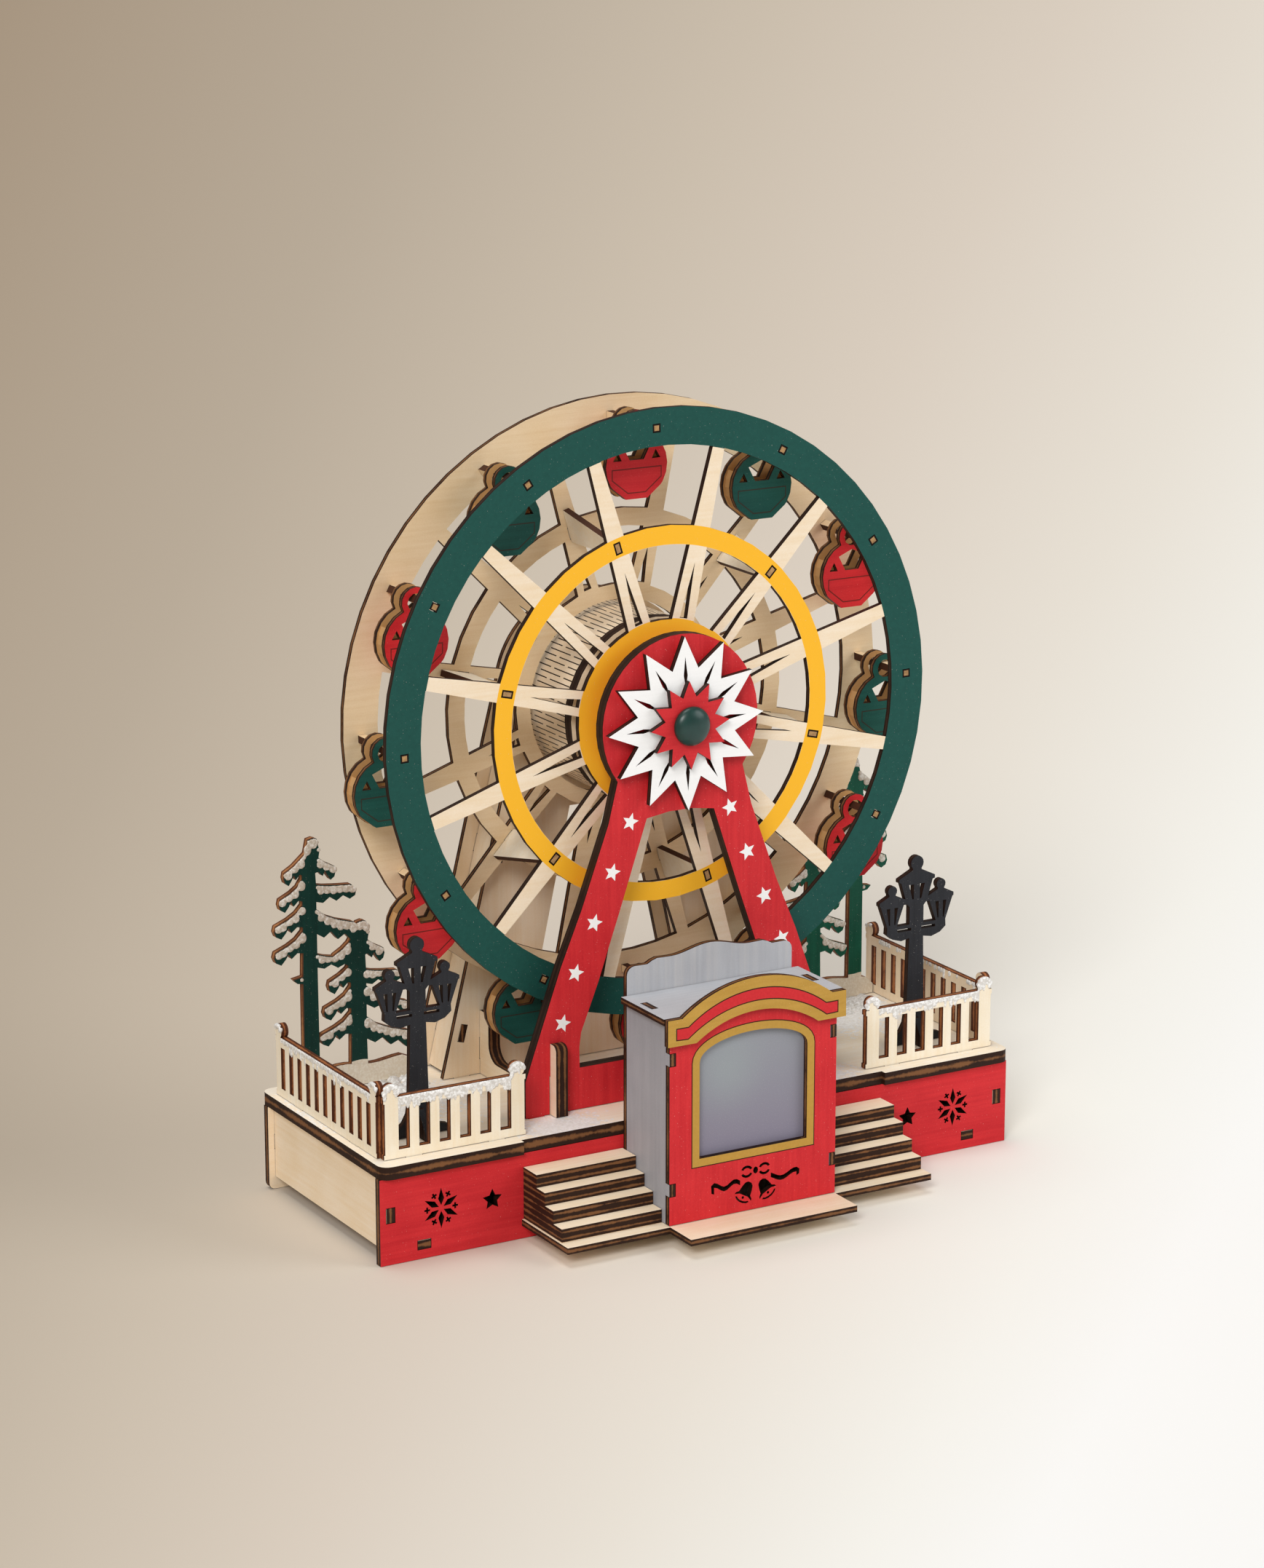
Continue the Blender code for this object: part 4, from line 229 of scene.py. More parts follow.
def cut_ply(name, axis, start, tones=BIRCH, along="X", thick=SHEET, edge=CHAR, roughness=0.62):
    """Plywood whose face looks along an axis, and whose sheets start at a place on that axis."""
    material, tree, shader = blank(name, roughness)
    coords = put(tree, "TexCoord")
    spot = put(tree, "SeparateXYZ", None, [coords.outputs["Object"]])
    turn = put(tree, "VectorMath", {"operation": "DOT_PRODUCT"},
               [coords.outputs["Normal"], AXES[axis]])
    is_face = put(tree, "Math", {"operation": "GREATER_THAN"},
                  [put(tree, "Math", {"operation": "ABSOLUTE"}, [turn]), SQUARE])
    place = spot.outputs[axis]
    if axis == "X":
        place = put(tree, "Math", {"operation": "ABSOLUTE"}, [place])
    inside = put(tree, "Math", {"operation": "DIVIDE"},
                 [put(tree, "Math", {"operation": "SUBTRACT"}, [place, start]), thick])
    off = put(tree, "Math", {"operation": "SUBTRACT"},
              [put(tree, "Math", {"operation": "FRACT"}, [inside]), 0.5])
    from_middle = put(tree, "Math", {"operation": "ABSOLUTE"}, [off])
    soot = put(tree, "TexNoise", None,
               {"Vector": coords.outputs["Object"], "Scale": 520, "Detail": 3.0, "Roughness": 0.65})
    ragged = put(tree, "Math", {"operation": "MULTIPLY_ADD"}, [soot, 0.34, -0.17])
    edge_spot = put(tree, "Math", {"operation": "ADD"}, [from_middle, ragged])
    smoke = put(tree, "TexNoise", None,
                {"Vector": coords.outputs["Object"], "Scale": 75, "Detail": 1.0})
    sooty = put(tree, "Math", {"operation": "MULTIPLY_ADD"}, [smoke, 0.5, edge_spot])
    burnt = put(tree, "MapRange", None, {"Value": sooty, "From Min": 0.30, "From Max": 0.45})
    rim = put(tree, "Mix", {"data_type": "RGBA"},
              {"Factor": burnt, "A": linear(edge[0]), "B": linear(edge[1])})
    long = put(tree, "Mapping", {"vector_type": "POINT"},
               {"Vector": coords.outputs["Object"], "Scale": STRETCH[along]})
    grain = put(tree, "TexNoise", None,
                {"Vector": long.outputs["Vector"], "Scale": 1.0, "Detail": 3.0, "Roughness": 0.6})
    cloud = put(tree, "TexNoise", None,
                {"Vector": coords.outputs["Object"], "Scale": 55, "Detail": 2.0})
    fleck = put(tree, "TexNoise", None,
                {"Vector": coords.outputs["Object"], "Scale": 1500, "Detail": 2.0})
    both = put(tree, "Math", {"operation": "MULTIPLY_ADD"}, [fleck, 0.5, grain])
    mixed = put(tree, "Math", {"operation": "MULTIPLY_ADD"}, [cloud, 0.8, both])
    tone = put(tree, "MapRange", None, {"Value": mixed, "From Min": 0.85, "From Max": 1.5})
    colour = put(tree, "Mix", {"data_type": "RGBA"},
                 {"Factor": tone, "A": linear(tones[0]), "B": linear(tones[1])})
    skin = put(tree, "Mix", {"data_type": "RGBA"}, {"Factor": is_face, "A": rim, "B": colour})
    tree.links.new(skin.outputs["Result"], shader.inputs["Base Color"])
    bump = put(tree, "Bump", None, {"Height": both, "Strength": 0.3, "Distance": 0.0001})
    tree.links.new(bump.outputs["Normal"], shader.inputs["Normal"])
    made = {"coords": coords, "spot": spot, "turn": turn, "is_face": is_face, "soot": soot,
            "rim": rim, "face": colour, "skin": skin, "shader": shader}
    return material, tree, made


print("plain sheets are 3 mm, the box's 4 mm, the fences' 3.6 mm and the firs' 3.8 mm thick")

# %% [markdown]
# The bare boards come first. Boards that face the front are layered along Y, the side boards
# along X, and the boards that lie flat along Z. Each gets the depth or height where its first
# sheet starts. On the left and right the same distance from the middle counts, so one finish
# serves both. Depths are counted from the front face of the base.

# %% Bare birch boards
FRONT = -0.0299
CREAM = ("FAF1DF", "F3E3C6")
dress(["base_back_panel"], cut_ply("birch_ply_base_back", "Y", FRONT + 0.1127, thick=BOX_SHEET)[0])
dress(["base_side_left", "base_side_right"],
      cut_ply("birch_ply_base_sides", "X", 0.1578, along="Y", thick=BOX_SHEET)[0])
dress(["base_floor"], cut_ply("birch_ply_floor", "Z", 0.0045, thick=BOX_SHEET)[0])
dress(["platform_board"], cut_ply("birch_ply_platform", "Z", 0.0061)[0])
dress(["stairs_left", "stairs_right"], cut_ply("birch_ply_stairs", "Z", 0.0094)[0])
dress(["wall_left", "wall_right"], cut_ply("birch_ply_walls", "X", 0.0615, along="Y")[0])
dress(["tower_front_board"], cut_ply("birch_ply_tower_front", "Y", FRONT + 0.090, along="Z")[0])
dress(["tower_back_board"], cut_ply("birch_ply_tower_back", "Y", FRONT + 0.112, along="Z")[0])
dress(["tower_side_left", "tower_side_right"],
      cut_ply("birch_ply_tower_sides", "X", 0.0, along="Z")[0])
for side, tones in (("left", CREAM), ("right", BIRCH)):
    dress([f"fence_front_{side}"],
          cut_ply(f"birch_ply_fence_front_{side}", "Y", FRONT + 0.0055, CREAM, "Z",
                  FENCE_SHEET, RUST)[0])
    dress([f"fence_side_{side}"],
          cut_ply(f"birch_ply_fence_side_{side}", "X", 0.1577, tones, "Z", FENCE_SHEET, RUST)[0])

# %% [markdown]
# The painted boards are the same plywood under a thin matt acrylic paint. Paint hides the
# colour of the wood and keeps a little of its grain, so the two tones of a painted board are
# close together, and tiny pale specks of dust stay in it, about 0.6 mm wide.

# %% Painted boards
RED = ("D93338", "C3252D")
GREEN = ("1F574F", "184741")
PINE = ("143F37", "0E2F2A")
SPRUCE = ("17604A", "0F4B3A")
GREY = ("C0C2C7", "B2B4BA")
SLATE = ("AEAFB6", "A0A1A9")
BLACK = ("303136", "25262A")
WHITE = ("FFFFFF", "F7F7F7")
GOLD = ("C49A48", "B58C3D")
FRAME_FRONT = FRONT + 0.02305
BOOTH_FRONT = FRONT - 0.0411
CROWN_FRONT = FRONT - 0.0444


def painted(name, axis, start, tones, along="X", thick=SHEET, edge=CHAR):
    """A painted board: plywood with close tones and specks in its paint."""
    material, tree, made = cut_ply(name, axis, start, tones, along, thick, edge, 0.55)
    dust = put(tree, "TexNoise", None,
               {"Vector": made["coords"].outputs["Object"], "Scale": 1700, "Detail": 1.0})
    speck = put(tree, "MapRange", None,
                {"Value": dust, "From Min": 0.74, "From Max": 0.79, "To Max": 0.3})
    dusty = put(tree, "Mix", {"data_type": "RGBA"},
                {"Factor": speck, "A": made["face"], "B": linear("E8E2DA")})
    tree.links.new(dusty.outputs["Result"], made["skin"].inputs["B"])
    made["paint"] = dusty
    return material, tree, made


dress(["a_frame"], painted("red_painted_front_frame", "Y", FRAME_FRONT, RED, "Z", edge=COAL)[0])
dress(["star_red"], painted("red_painted_star", "Y", FRONT + 0.0145, RED, edge=COAL)[0])
dress(["star_white"], painted("white_painted_star", "Y", FRONT + 0.0178, WHITE, edge=COAL)[0])
# The booth's sides get a darker grey than its roof and back.
dress(["booth_side_left", "booth_side_right"],
      painted("grey_painted_booth_sides", "X", 0.04025, SLATE, "Z")[0])
dress(["booth_roof"], painted("grey_painted_booth_roof", "Z", 0.1025, GREY)[0])
dress(["booth_crown"], painted("gold_painted_crown", "Y", CROWN_FRONT, GOLD)[0])
dress(["lamp_left", "lamp_right"],
      painted("black_painted_lamps", "Y", FRONT + 0.0273, BLACK, "Z", edge=COAL)[0])
print("front frame starts at", FRAME_FRONT, "booth at", BOOTH_FRONT, "crown at", CROWN_FRONT)

# %% [markdown]
# On the two red boards the walls of the snowflakes, stars and bells are painted nearly black,
# as painted shade for the dark inside that shows through them, and their outer edges are
# brown. The distance from the middle and the height tell them apart.

# %% Red boards with cut-outs
CUTS_START = 0.0065
for part, start, thick, along, reach in (("base_front_panel", FRONT, BOX_SHEET, "X", 0.150),
                                         ("booth_front", BOOTH_FRONT, SHEET, "Z", 0.026)):
    material, tree, made = painted(f"red_painted_{part}", "Y", start, RED, along, thick)
    away = put(tree, "Math", {"operation": "ABSOLUTE"}, [made["spot"].outputs["X"]])
    inner = put(tree, "Math", {"operation": "LESS_THAN"}, [away, reach])
    above = put(tree, "Math", {"operation": "GREATER_THAN"},
                [made["spot"].outputs["Z"], CUTS_START])
    cutout_shade = put(tree, "Math", {"operation": "MULTIPLY"}, [inner, above])
    # Painted shade: the walls of the small cut-outs are drawn nearly black, for the dark inside
    # behind them.
    wall = put(tree, "Mix", {"data_type": "RGBA"},
               {"Factor": cutout_shade, "A": made["rim"], "B": linear("26150F")})
    tree.links.new(wall.outputs["Result"], made["skin"].inputs["A"])
    dress([part], material)

# %% [markdown]
# The tall board at the back of the booth is stained grey so thinly that the grain shows as
# pale upright streaks, about 3 mm apart and 110 mm long.

# %% The stained back board
stained, tree, made = painted("grey_stained_booth_back", "Y", FRONT - 0.0033, GREY, "Z")
upright = put(tree, "Mapping", {"vector_type": "POINT"},
              {"Vector": made["coords"].outputs["Object"], "Scale": (310, 310, 9)})
streak = put(tree, "TexNoise", None,
             {"Vector": upright.outputs["Vector"], "Scale": 1.0, "Detail": 2.0})
thin = put(tree, "MapRange", None,
           {"Value": streak, "From Min": 0.5, "From Max": 0.75, "To Max": 0.3})
bare = put(tree, "Mix", {"data_type": "RGBA"},
           {"Factor": thin, "A": made["paint"], "B": linear("D8D3CE")})
tree.links.new(bare.outputs["Result"], made["skin"].inputs["B"])
dress(["booth_back"], stained)

# %% [markdown]
# The front plate of the wheel is painted by ring: a green rim, a yellow ring half way and a
# yellow hub, with bare spokes between them. The distance from the axle says which colour a
# point of the face gets, and only the side that faces the front is painted.

# %% The painted wheel plate
AXLE = 0.2196
RIM_START = 0.1222
RING_MIDDLE = 0.0820
RING_HALF = 0.0044
HUB_REACH = 0.0440
PLATE_FRONT = FRONT + 0.0383


def around_axle(tree, made):
    """A point's arm from the axle as a vector, and its angle round the axle."""
    height = put(tree, "Math", {"operation": "SUBTRACT"}, [made["spot"].outputs["Z"], AXLE])
    across = made["spot"].outputs["X"]
    arm = put(tree, "CombineXYZ", None, {"X": across, "Z": height})
    return arm.outputs["Vector"], put(tree, "Math", {"operation": "ARCTAN2"}, [across, height])


wheel_paint, tree, made = painted("ring_painted_wheel_front", "Y", PLATE_FRONT, BIRCH, edge=COAL)
radius = put(tree, "VectorMath", {"operation": "LENGTH"}, [around_axle(tree, made)[0]])
rim = put(tree, "Math", {"operation": "GREATER_THAN"}, [radius, RIM_START])
hub = put(tree, "Math", {"operation": "LESS_THAN"}, [radius, HUB_REACH])
ring = put(tree, "Math", {"operation": "COMPARE"}, [radius, RING_MIDDLE, RING_HALF])
gilt = put(tree, "Math", {"operation": "MAXIMUM"}, [hub, ring])
front_only = put(tree, "Math", {"operation": "LESS_THAN"}, [made["turn"], -SQUARE])
is_rim = put(tree, "Math", {"operation": "MULTIPLY"}, [rim, front_only])
is_gilt = put(tree, "Math", {"operation": "MULTIPLY"}, [gilt, front_only])
mottle = put(tree, "Mix", {"data_type": "RGBA"},
             {"Factor": made["soot"], "A": linear(GREEN[0]), "B": linear(GREEN[1])})
green = put(tree, "Mix", {"data_type": "RGBA"}, {"Factor": is_rim, "A": made["face"], "B": mottle})
yellow = put(tree, "Mix", {"data_type": "RGBA"},
             {"Factor": is_gilt, "A": green, "B": linear("FFBE2E")})
tree.links.new(yellow.outputs["Result"], made["paint"].inputs["A"])
dress(["wheel_front"], wheel_paint)
print("in metres: rim from", RIM_START, "ring at", RING_MIDDLE, "hub up to", HUB_REACH)

# %% [markdown]
# The bars that carry the gondolas and the six boards between the wheel's plates are cut from
# the same sheet, and then stand on edge. Their two sides that look round the wheel are sheet
# faces, pale as the rest. The sides that look at the axle or away from it are cuts, and so
# are the ends that show in the plates, so they are burnt. The direction from the axle tells
# one from the other. The wheel rests turned by 1.65 degrees, which is 0.055 of the step from
# one bar to the next, and the boards stand half a step further on.

# %% The rear plate, its bars and the boards between the plates
REST_TURN = 0.055
PER_TURN = 12
REAR_PLATE = FRONT + 0.080
BAR_RING = 0.1305
BOARD_RING = 0.08175
TAB_LINE = 0.0005
SLACK = 0.0002


def radial_cut(tree, made):
    """Tells where a surface looks at the axle or away from it."""
    way = put(tree, "VectorMath", {"operation": "NORMALIZE"}, [around_axle(tree, made)[0]])
    facing = put(tree, "VectorMath", {"operation": "DOT_PRODUCT"},
                 [way, made["coords"].outputs["Normal"]])
    return put(tree, "Math", {"operation": "GREATER_THAN"},
               [put(tree, "Math", {"operation": "ABSOLUTE"}, [facing]), 0.6])


def tab_end(tree, made, ring, half_radial, half_across, turn):
    """A tab's end, mottled with a black line round it. They sit every 30 degrees on a ring."""
    arm, angle = around_axle(tree, made)
    radius = put(tree, "VectorMath", {"operation": "LENGTH"}, [arm])
    steps = put(tree, "Math", {"operation": "MULTIPLY_ADD"}, [angle, PER_TURN / math.tau, turn])
    off = put(tree, "Math", {"operation": "SUBTRACT"},
              [steps, put(tree, "Math", {"operation": "ROUND"}, [steps])])
    share = (half_across - TAB_LINE) / ring * PER_TURN / math.tau
    across = put(tree, "Math", {"operation": "COMPARE"}, [off, 0.0, share])
    along = put(tree, "Math", {"operation": "COMPARE"}, [radius, ring, half_radial - TAB_LINE])
    inner = put(tree, "Math", {"operation": "MULTIPLY"}, [across, along])
    mottle = put(tree, "Mix", {"data_type": "RGBA"},
                 {"Factor": made["soot"], "A": linear("5E3F28"), "B": linear("D9AE78")})
    return put(tree, "Mix", {"data_type": "RGBA"},
               {"Factor": inner, "A": linear("20130E"), "B": mottle})


def bar_skin(tree, made, end):
    """Pale sides, burnt cuts and mottled ends, and painted black shade inside the front plate."""
    cut = radial_cut(tree, made)
    side = put(tree, "Mix", {"data_type": "RGBA"},
               {"Factor": cut, "A": made["face"], "B": linear("4A2D20")})
    # Painted shade: where a bar sits in the front plate's slot it is drawn black.
    slot_shade = put(tree, "Math", {"operation": "LESS_THAN"},
               [made["spot"].outputs["Y"], PLATE_FRONT + SHEET + SLACK])
    deep = put(tree, "Mix", {"data_type": "RGBA"},
               {"Factor": slot_shade, "A": side, "B": linear("20130E")})
    return put(tree, "Mix", {"data_type": "RGBA"}, {"Factor": made["is_face"], "A": deep, "B": end})


# Painted light: the boards between the plates take the paler cream tones, brighter than the shade
# they stand in.
board, tree, made = cut_ply("birch_ply_between_plates_painted_light", "Y", 0.0, CREAM)
end = tab_end(tree, made, BOARD_RING, 0.00255, SHEET / 2, REST_TURN + 0.5)
tree.links.new(bar_skin(tree, made, end).outputs["Result"], made["shader"].inputs["Base Color"])
dress([f"wheel_spacer_{n}" for n in range(1, 7)], board)
# The rear plate's warmer tones are partly scorch and partly painted warm shade.
rear, tree, made = cut_ply("birch_ply_wheel_rear", "Y", REAR_PLATE, SCORCHED_AND_BOUNCE_LIT_BIRCH)
in_plate = put(tree, "Math", {"operation": "GREATER_THAN"},
               [made["spot"].outputs["Y"], REAR_PLATE - SLACK])
end = tab_end(tree, made, BAR_RING, 0.0017, 0.0017, REST_TURN)
whole = put(tree, "Mix", {"data_type": "RGBA"},
            {"Factor": in_plate, "A": bar_skin(tree, made, end), "B": made["skin"]})
tree.links.new(whole.outputs["Result"], made["shader"].inputs["Base Color"])
dress(["wheel_rear"], rear)

# %% [markdown]
# A gondola is two painted plates with a strip of thin bare wood bent round between them. The
# plates' edges are burnt, and the strip and the plates' inner sides stay bare, drawn in a
# darker tan that is painted shade between the plates. On each plate the laser has engraved
# the tub: a level line and, below it, a line that runs round inside the outline. Both lines
# are measured from a centre 15 mm over the gondola's lowest point.

# %% Gondolas
POD_FRONT = FRONT + 0.0558
POD_MIDDLE = FRONT + 0.0614
POD_INSIDE = 0.004
STRIP_HALF = 0.0026
CENTRE_HEIGHT = 0.015
TUB_LEVEL = -0.0012
TUB_KEEL = 0.0122
TUB_CORNER = 0.0124
TUB_SIDE = 0.0126
LINE_HALF = 0.00028
# Painted shade: the bare wood between the plates is a darker tan than lit birch.
SHADED_BARE_INSIDE = "C79C67"
SHADED_BARE_STRIP = "CDA06C"
for number in range(1, 13):
    name = f"gondola_{number:02d}"
    low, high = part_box(name)
    tones, word = (RED, "red") if number % 2 else (GREEN, "green")
    material, tree, made = painted(f"{word}_painted_{name}", "Y", POD_FRONT, tones)
    centre = ((low[0] + high[0]) / 2, 0, low[2] + CENTRE_HEIGHT)
    local = put(tree, "VectorMath", {"operation": "SUBTRACT"},
                [made["coords"].outputs["Object"], centre])
    here = put(tree, "SeparateXYZ", None, [local]).outputs
    level = put(tree, "Math", {"operation": "COMPARE"}, [here["Z"], TUB_LEVEL, LINE_HALF])
    keel = put(tree, "Math", {"operation": "SUBTRACT"},
               [put(tree, "Math", {"operation": "MULTIPLY"}, [here["Z"], -1.0]), TUB_KEEL])
    bilge = put(tree, "VectorMath", {"operation": "DOT_PRODUCT"}, [local, (0.62, 0, -0.785)])
    mirror = put(tree, "VectorMath", {"operation": "DOT_PRODUCT"}, [local, (-0.62, 0, -0.785)])
    corner = put(tree, "Math", {"operation": "MAXIMUM"}, [bilge, mirror])
    slant = put(tree, "Math", {"operation": "SUBTRACT"}, [corner, TUB_CORNER])
    side = put(tree, "Math", {"operation": "SUBTRACT"},
               [put(tree, "Math", {"operation": "ABSOLUTE"}, [here["X"]]), TUB_SIDE])
    tub = put(tree, "Math", {"operation": "MAXIMUM"},
              [put(tree, "Math", {"operation": "MAXIMUM"}, [keel, slant]), side])
    tub_line = put(tree, "Math", {"operation": "COMPARE"}, [tub, 0.0, LINE_HALF])
    under = put(tree, "Math", {"operation": "LESS_THAN"}, [here["Z"], TUB_LEVEL + SLACK])
    within = put(tree, "Math", {"operation": "LESS_THAN"}, [tub, SLACK])
    tub_line = put(tree, "Math", {"operation": "MULTIPLY"}, [tub_line, under])
    level = put(tree, "Math", {"operation": "MULTIPLY"}, [level, within])
    line = put(tree, "Math", {"operation": "MULTIPLY"},
               [put(tree, "Math", {"operation": "MAXIMUM"}, [level, tub_line]), 0.75])
    engraved = put(tree, "Mix", {"data_type": "RGBA"},
                   {"Factor": line, "A": made["paint"], "B": linear("3A241C")})
    inside = put(tree, "Math", {"operation": "COMPARE"},
                 [made["spot"].outputs["Y"], POD_MIDDLE, POD_INSIDE])
    outer = put(tree, "Mix", {"data_type": "RGBA"},
                {"Factor": inside, "A": engraved, "B": linear(SHADED_BARE_INSIDE)})
    tree.links.new(outer.outputs["Result"], made["skin"].inputs["B"])
    depth = put(tree, "Math", {"operation": "COMPARE"},
                [made["spot"].outputs["Y"], POD_MIDDLE, STRIP_HALF])
    strip = put(tree, "Mix", {"data_type": "RGBA"},
                {"Factor": depth, "A": made["rim"], "B": linear(SHADED_BARE_STRIP)})
    tree.links.new(strip.outputs["Result"], made["skin"].inputs["A"])
    dress([name], material)
print("gondola plates engraved: 12, box of the last:", [round(v * 1000, 1) for v in low])

# %% [markdown]
# The drum behind the wheel is a strip of plywood, bent round two thick rings. To let it bend,
# the laser has cut rows of short slits along its depth, each row half a slit further on. The
# angle round the axle and the depth place them, and the rings in front keep burnt edges.

# %% The slit drum
SLIT_ROWS = 100
SLIT_PITCH = 0.021
STRIP_START = FRONT + 0.0514
drum, tree, made = cut_ply("kerf_bent_birch_drum", "Y", FRONT + 0.0453, along="Y", edge=COAL)
rows = put(tree, "Math", {"operation": "MULTIPLY"},
           [around_axle(tree, made)[1], SLIT_ROWS / math.tau])
kerf = put(tree, "Math", {"operation": "COMPARE"},
           [put(tree, "Math", {"operation": "FRACT"}, [rows]), 0.5, 0.10])
shift = put(tree, "Math", {"operation": "MULTIPLY"},
            [put(tree, "Math", {"operation": "FLOOR"}, [rows]), 0.5])
along = put(tree, "Math", {"operation": "MULTIPLY_ADD"},
            [made["spot"].outputs["Y"], 1 / SLIT_PITCH, shift])
open_part = put(tree, "Math", {"operation": "COMPARE"},
                [put(tree, "Math", {"operation": "FRACT"}, [along]), 0.5, 0.43])
slit = put(tree, "Math", {"operation": "MULTIPLY"}, [kerf, open_part])
strip = put(tree, "Mix", {"data_type": "RGBA"},
            {"Factor": slit, "A": made["face"], "B": linear("2A1A13")})
behind = put(tree, "Math", {"operation": "GREATER_THAN"}, [made["spot"].outputs["Y"], STRIP_START])
side = put(tree, "Mix", {"data_type": "RGBA"}, {"Factor": behind, "A": made["rim"], "B": strip})
tree.links.new(side.outputs["Result"], made["skin"].inputs["A"])
dress(["drum_housing"], drum)
print("rows of slits round the drum:", SLIT_ROWS)

# %% [markdown]
# ## Artificial snow
#
# The snow is white grit in glue, dabbed on with a brush. It is thick on the branches and the
# fences' rails, and thin on the deck, where single grains catch the light. The finish is a
# rough white with a strong fine bump, and sparks of a lighter white. Real grit is finer than
# a render can show, so its grains are drawn about 1.1 mm wide.

# %% Snow and the snowy deck
def snow_tones(tree, coords, shade=("EDEBE8", "FFFFFF")):
    """The grains of gritty snow and the two whites that they make."""
    grit = put(tree, "TexNoise", None,
               {"Vector": coords.outputs["Object"], "Scale": 900, "Detail": 2.0})
    spark = put(tree, "MapRange", None, {"Value": grit, "From Min": 0.42, "From Max": 0.66})
    return grit, put(tree, "Mix", {"data_type": "RGBA"},
                     {"Factor": spark, "A": linear(shade[0]), "B": linear(shade[1])})


def snow_finish(name, roughness, shade, strength, distance):
    """Gritty snow as a material of its own."""
    material, tree, shader = blank(name, roughness)
    grit, white = snow_tones(tree, put(tree, "TexCoord"), shade)
    tree.links.new(white.outputs["Result"], shader.inputs["Base Color"])
    bump = put(tree, "Bump", None, {"Height": grit, "Strength": strength, "Distance": distance})
    tree.links.new(bump.outputs["Normal"], shader.inputs["Normal"])
    return material


snow = snow_finish("gritty_white_snow", 0.6, ("D9D6D1", "FFFFFF"), 0.9, 0.0004)

DECK_TOP = 0.0461
DECK_BOTTOM = 0.0401
PATCHES = ((-0.128, 0.045, 0.052), (0.128, 0.05, 0.040), (-0.07, -0.024, 0.028),
           (0.062, -0.02, 0.03))
# Painted light: the deck's birch is a paler cream than the other boards, brighter than its shade
# would leave it.
deck, tree, made = cut_ply("birch_ply_deck_painted_light", "Z", DECK_BOTTOM, ("FCF2E2", "F6E5CA"), thick=0.006)
total = None
for x, y, size in PATCHES:
    gap = put(tree, "VectorMath", {"operation": "DISTANCE"},
              [made["coords"].outputs["Object"], (x, y, DECK_TOP)])
    patch = put(tree, "MapRange", None, {"Value": gap, "From Min": size, "From Max": size * 0.3})
    total = patch if total is None else put(tree, "Math", {"operation": "MAXIMUM"}, [total, patch])
scatter = put(tree, "TexNoise", None,
              {"Vector": made["coords"].outputs["Object"], "Scale": 420, "Detail": 4.0,
               "Roughness": 0.7})
sum_up = put(tree, "Math", {"operation": "MULTIPLY_ADD"}, [total, 0.30, scatter])
cover = put(tree, "MapRange", None,
            {"Value": sum_up, "From Min": 0.6, "From Max": 0.68, "To Max": 0.9})
dusted = put(tree, "Mix", {"data_type": "RGBA"},
             {"Factor": cover, "A": made["face"], "B": snow_tones(tree, made["coords"])[1]})
tree.links.new(dusted.outputs["Result"], made["skin"].inputs["B"])
dress(["deck"], deck)

# %% [markdown]
# The firs are painted dark green, the pair on the right a little fresher. The bank that their
# trunks rise from belongs to the same sheet, but it is coated with snow: the paint stops
# where the trunks start, in a slightly wavy line.

# %% Firs
TREE_FRONT = FRONT + 0.103
PAINT_STOPS = 0.0562
PAINT_WAVE = 0.003
for side, tones in (("left", PINE), ("right", SPRUCE)):
    material, tree, made = painted(f"green_painted_firs_{side}", "Y", TREE_FRONT, tones, "Z",
                                   TREE_SHEET, ("B27A4C", "6A3D26"))
    wave = put(tree, "TexNoise", None,
               {"Vector": made["coords"].outputs["Object"], "Scale": 90, "Detail": 2.0})
    edge = put(tree, "Math", {"operation": "MULTIPLY_ADD"}, [wave, PAINT_WAVE, PAINT_STOPS])
    bank = put(tree, "Math", {"operation": "LESS_THAN"}, [made["spot"].outputs["Z"], edge])
    crust = snow_tones(tree, made["coords"], ("E4D8C4", "EFE7D8"))[1]
    frosted = put(tree, "Mix", {"data_type": "RGBA"},
                  {"Factor": bank, "A": made["paint"], "B": crust})
    tree.links.new(frosted.outputs["Result"], made["skin"].inputs["B"])
    dress([f"trees_{side}"], material)

# %% [markdown]
# ## Thin things on the boards
#
# Stars, the gold frame round the window and the bands on the crown are thin coats with a
# crisp outline. Each starts as a filled circle whose corners are moved to the outline, and is
# then inset in edit mode, once for every stripe, so that all stripes keep an even width. Last
# it gets a thickness of a tenth of a millimetre, a little under half of it sunk in the board.

# %% Cutting thin pieces
COAT = 0.0001
PROUD = COAT * 0.6


def plain_paint(name, tones, roughness=0.55, fine=700, gloss=0.16):
    """Brushed paint in two close tones."""
    material, tree, shader = blank(name, roughness, gloss=gloss)
    coords = put(tree, "TexCoord")
    cloud = put(tree, "TexNoise", None,
                {"Vector": coords.outputs["Object"], "Scale": fine, "Detail": 3.0})
    mix = put(tree, "Mix", {"data_type": "RGBA"},
              {"Factor": cloud, "A": linear(tones[0]), "B": linear(tones[1])})
    tree.links.new(mix.outputs["Result"], shader.inputs["Base Color"])
    bump = put(tree, "Bump", None, {"Height": cloud, "Strength": 0.3, "Distance": 0.0001})
    tree.links.new(bump.outputs["Normal"], shader.inputs["Normal"])
    return material


white_coat = plain_paint("white_brushed_acrylic", WHITE)
gold_coat = plain_paint("gold_brushed_acrylic", GOLD)
red_coat = plain_paint("red_brushed_acrylic", RED)
engraving = plain_paint("burnt_engraved_line", ("4A2A1C", "2E1A13"), 0.8)


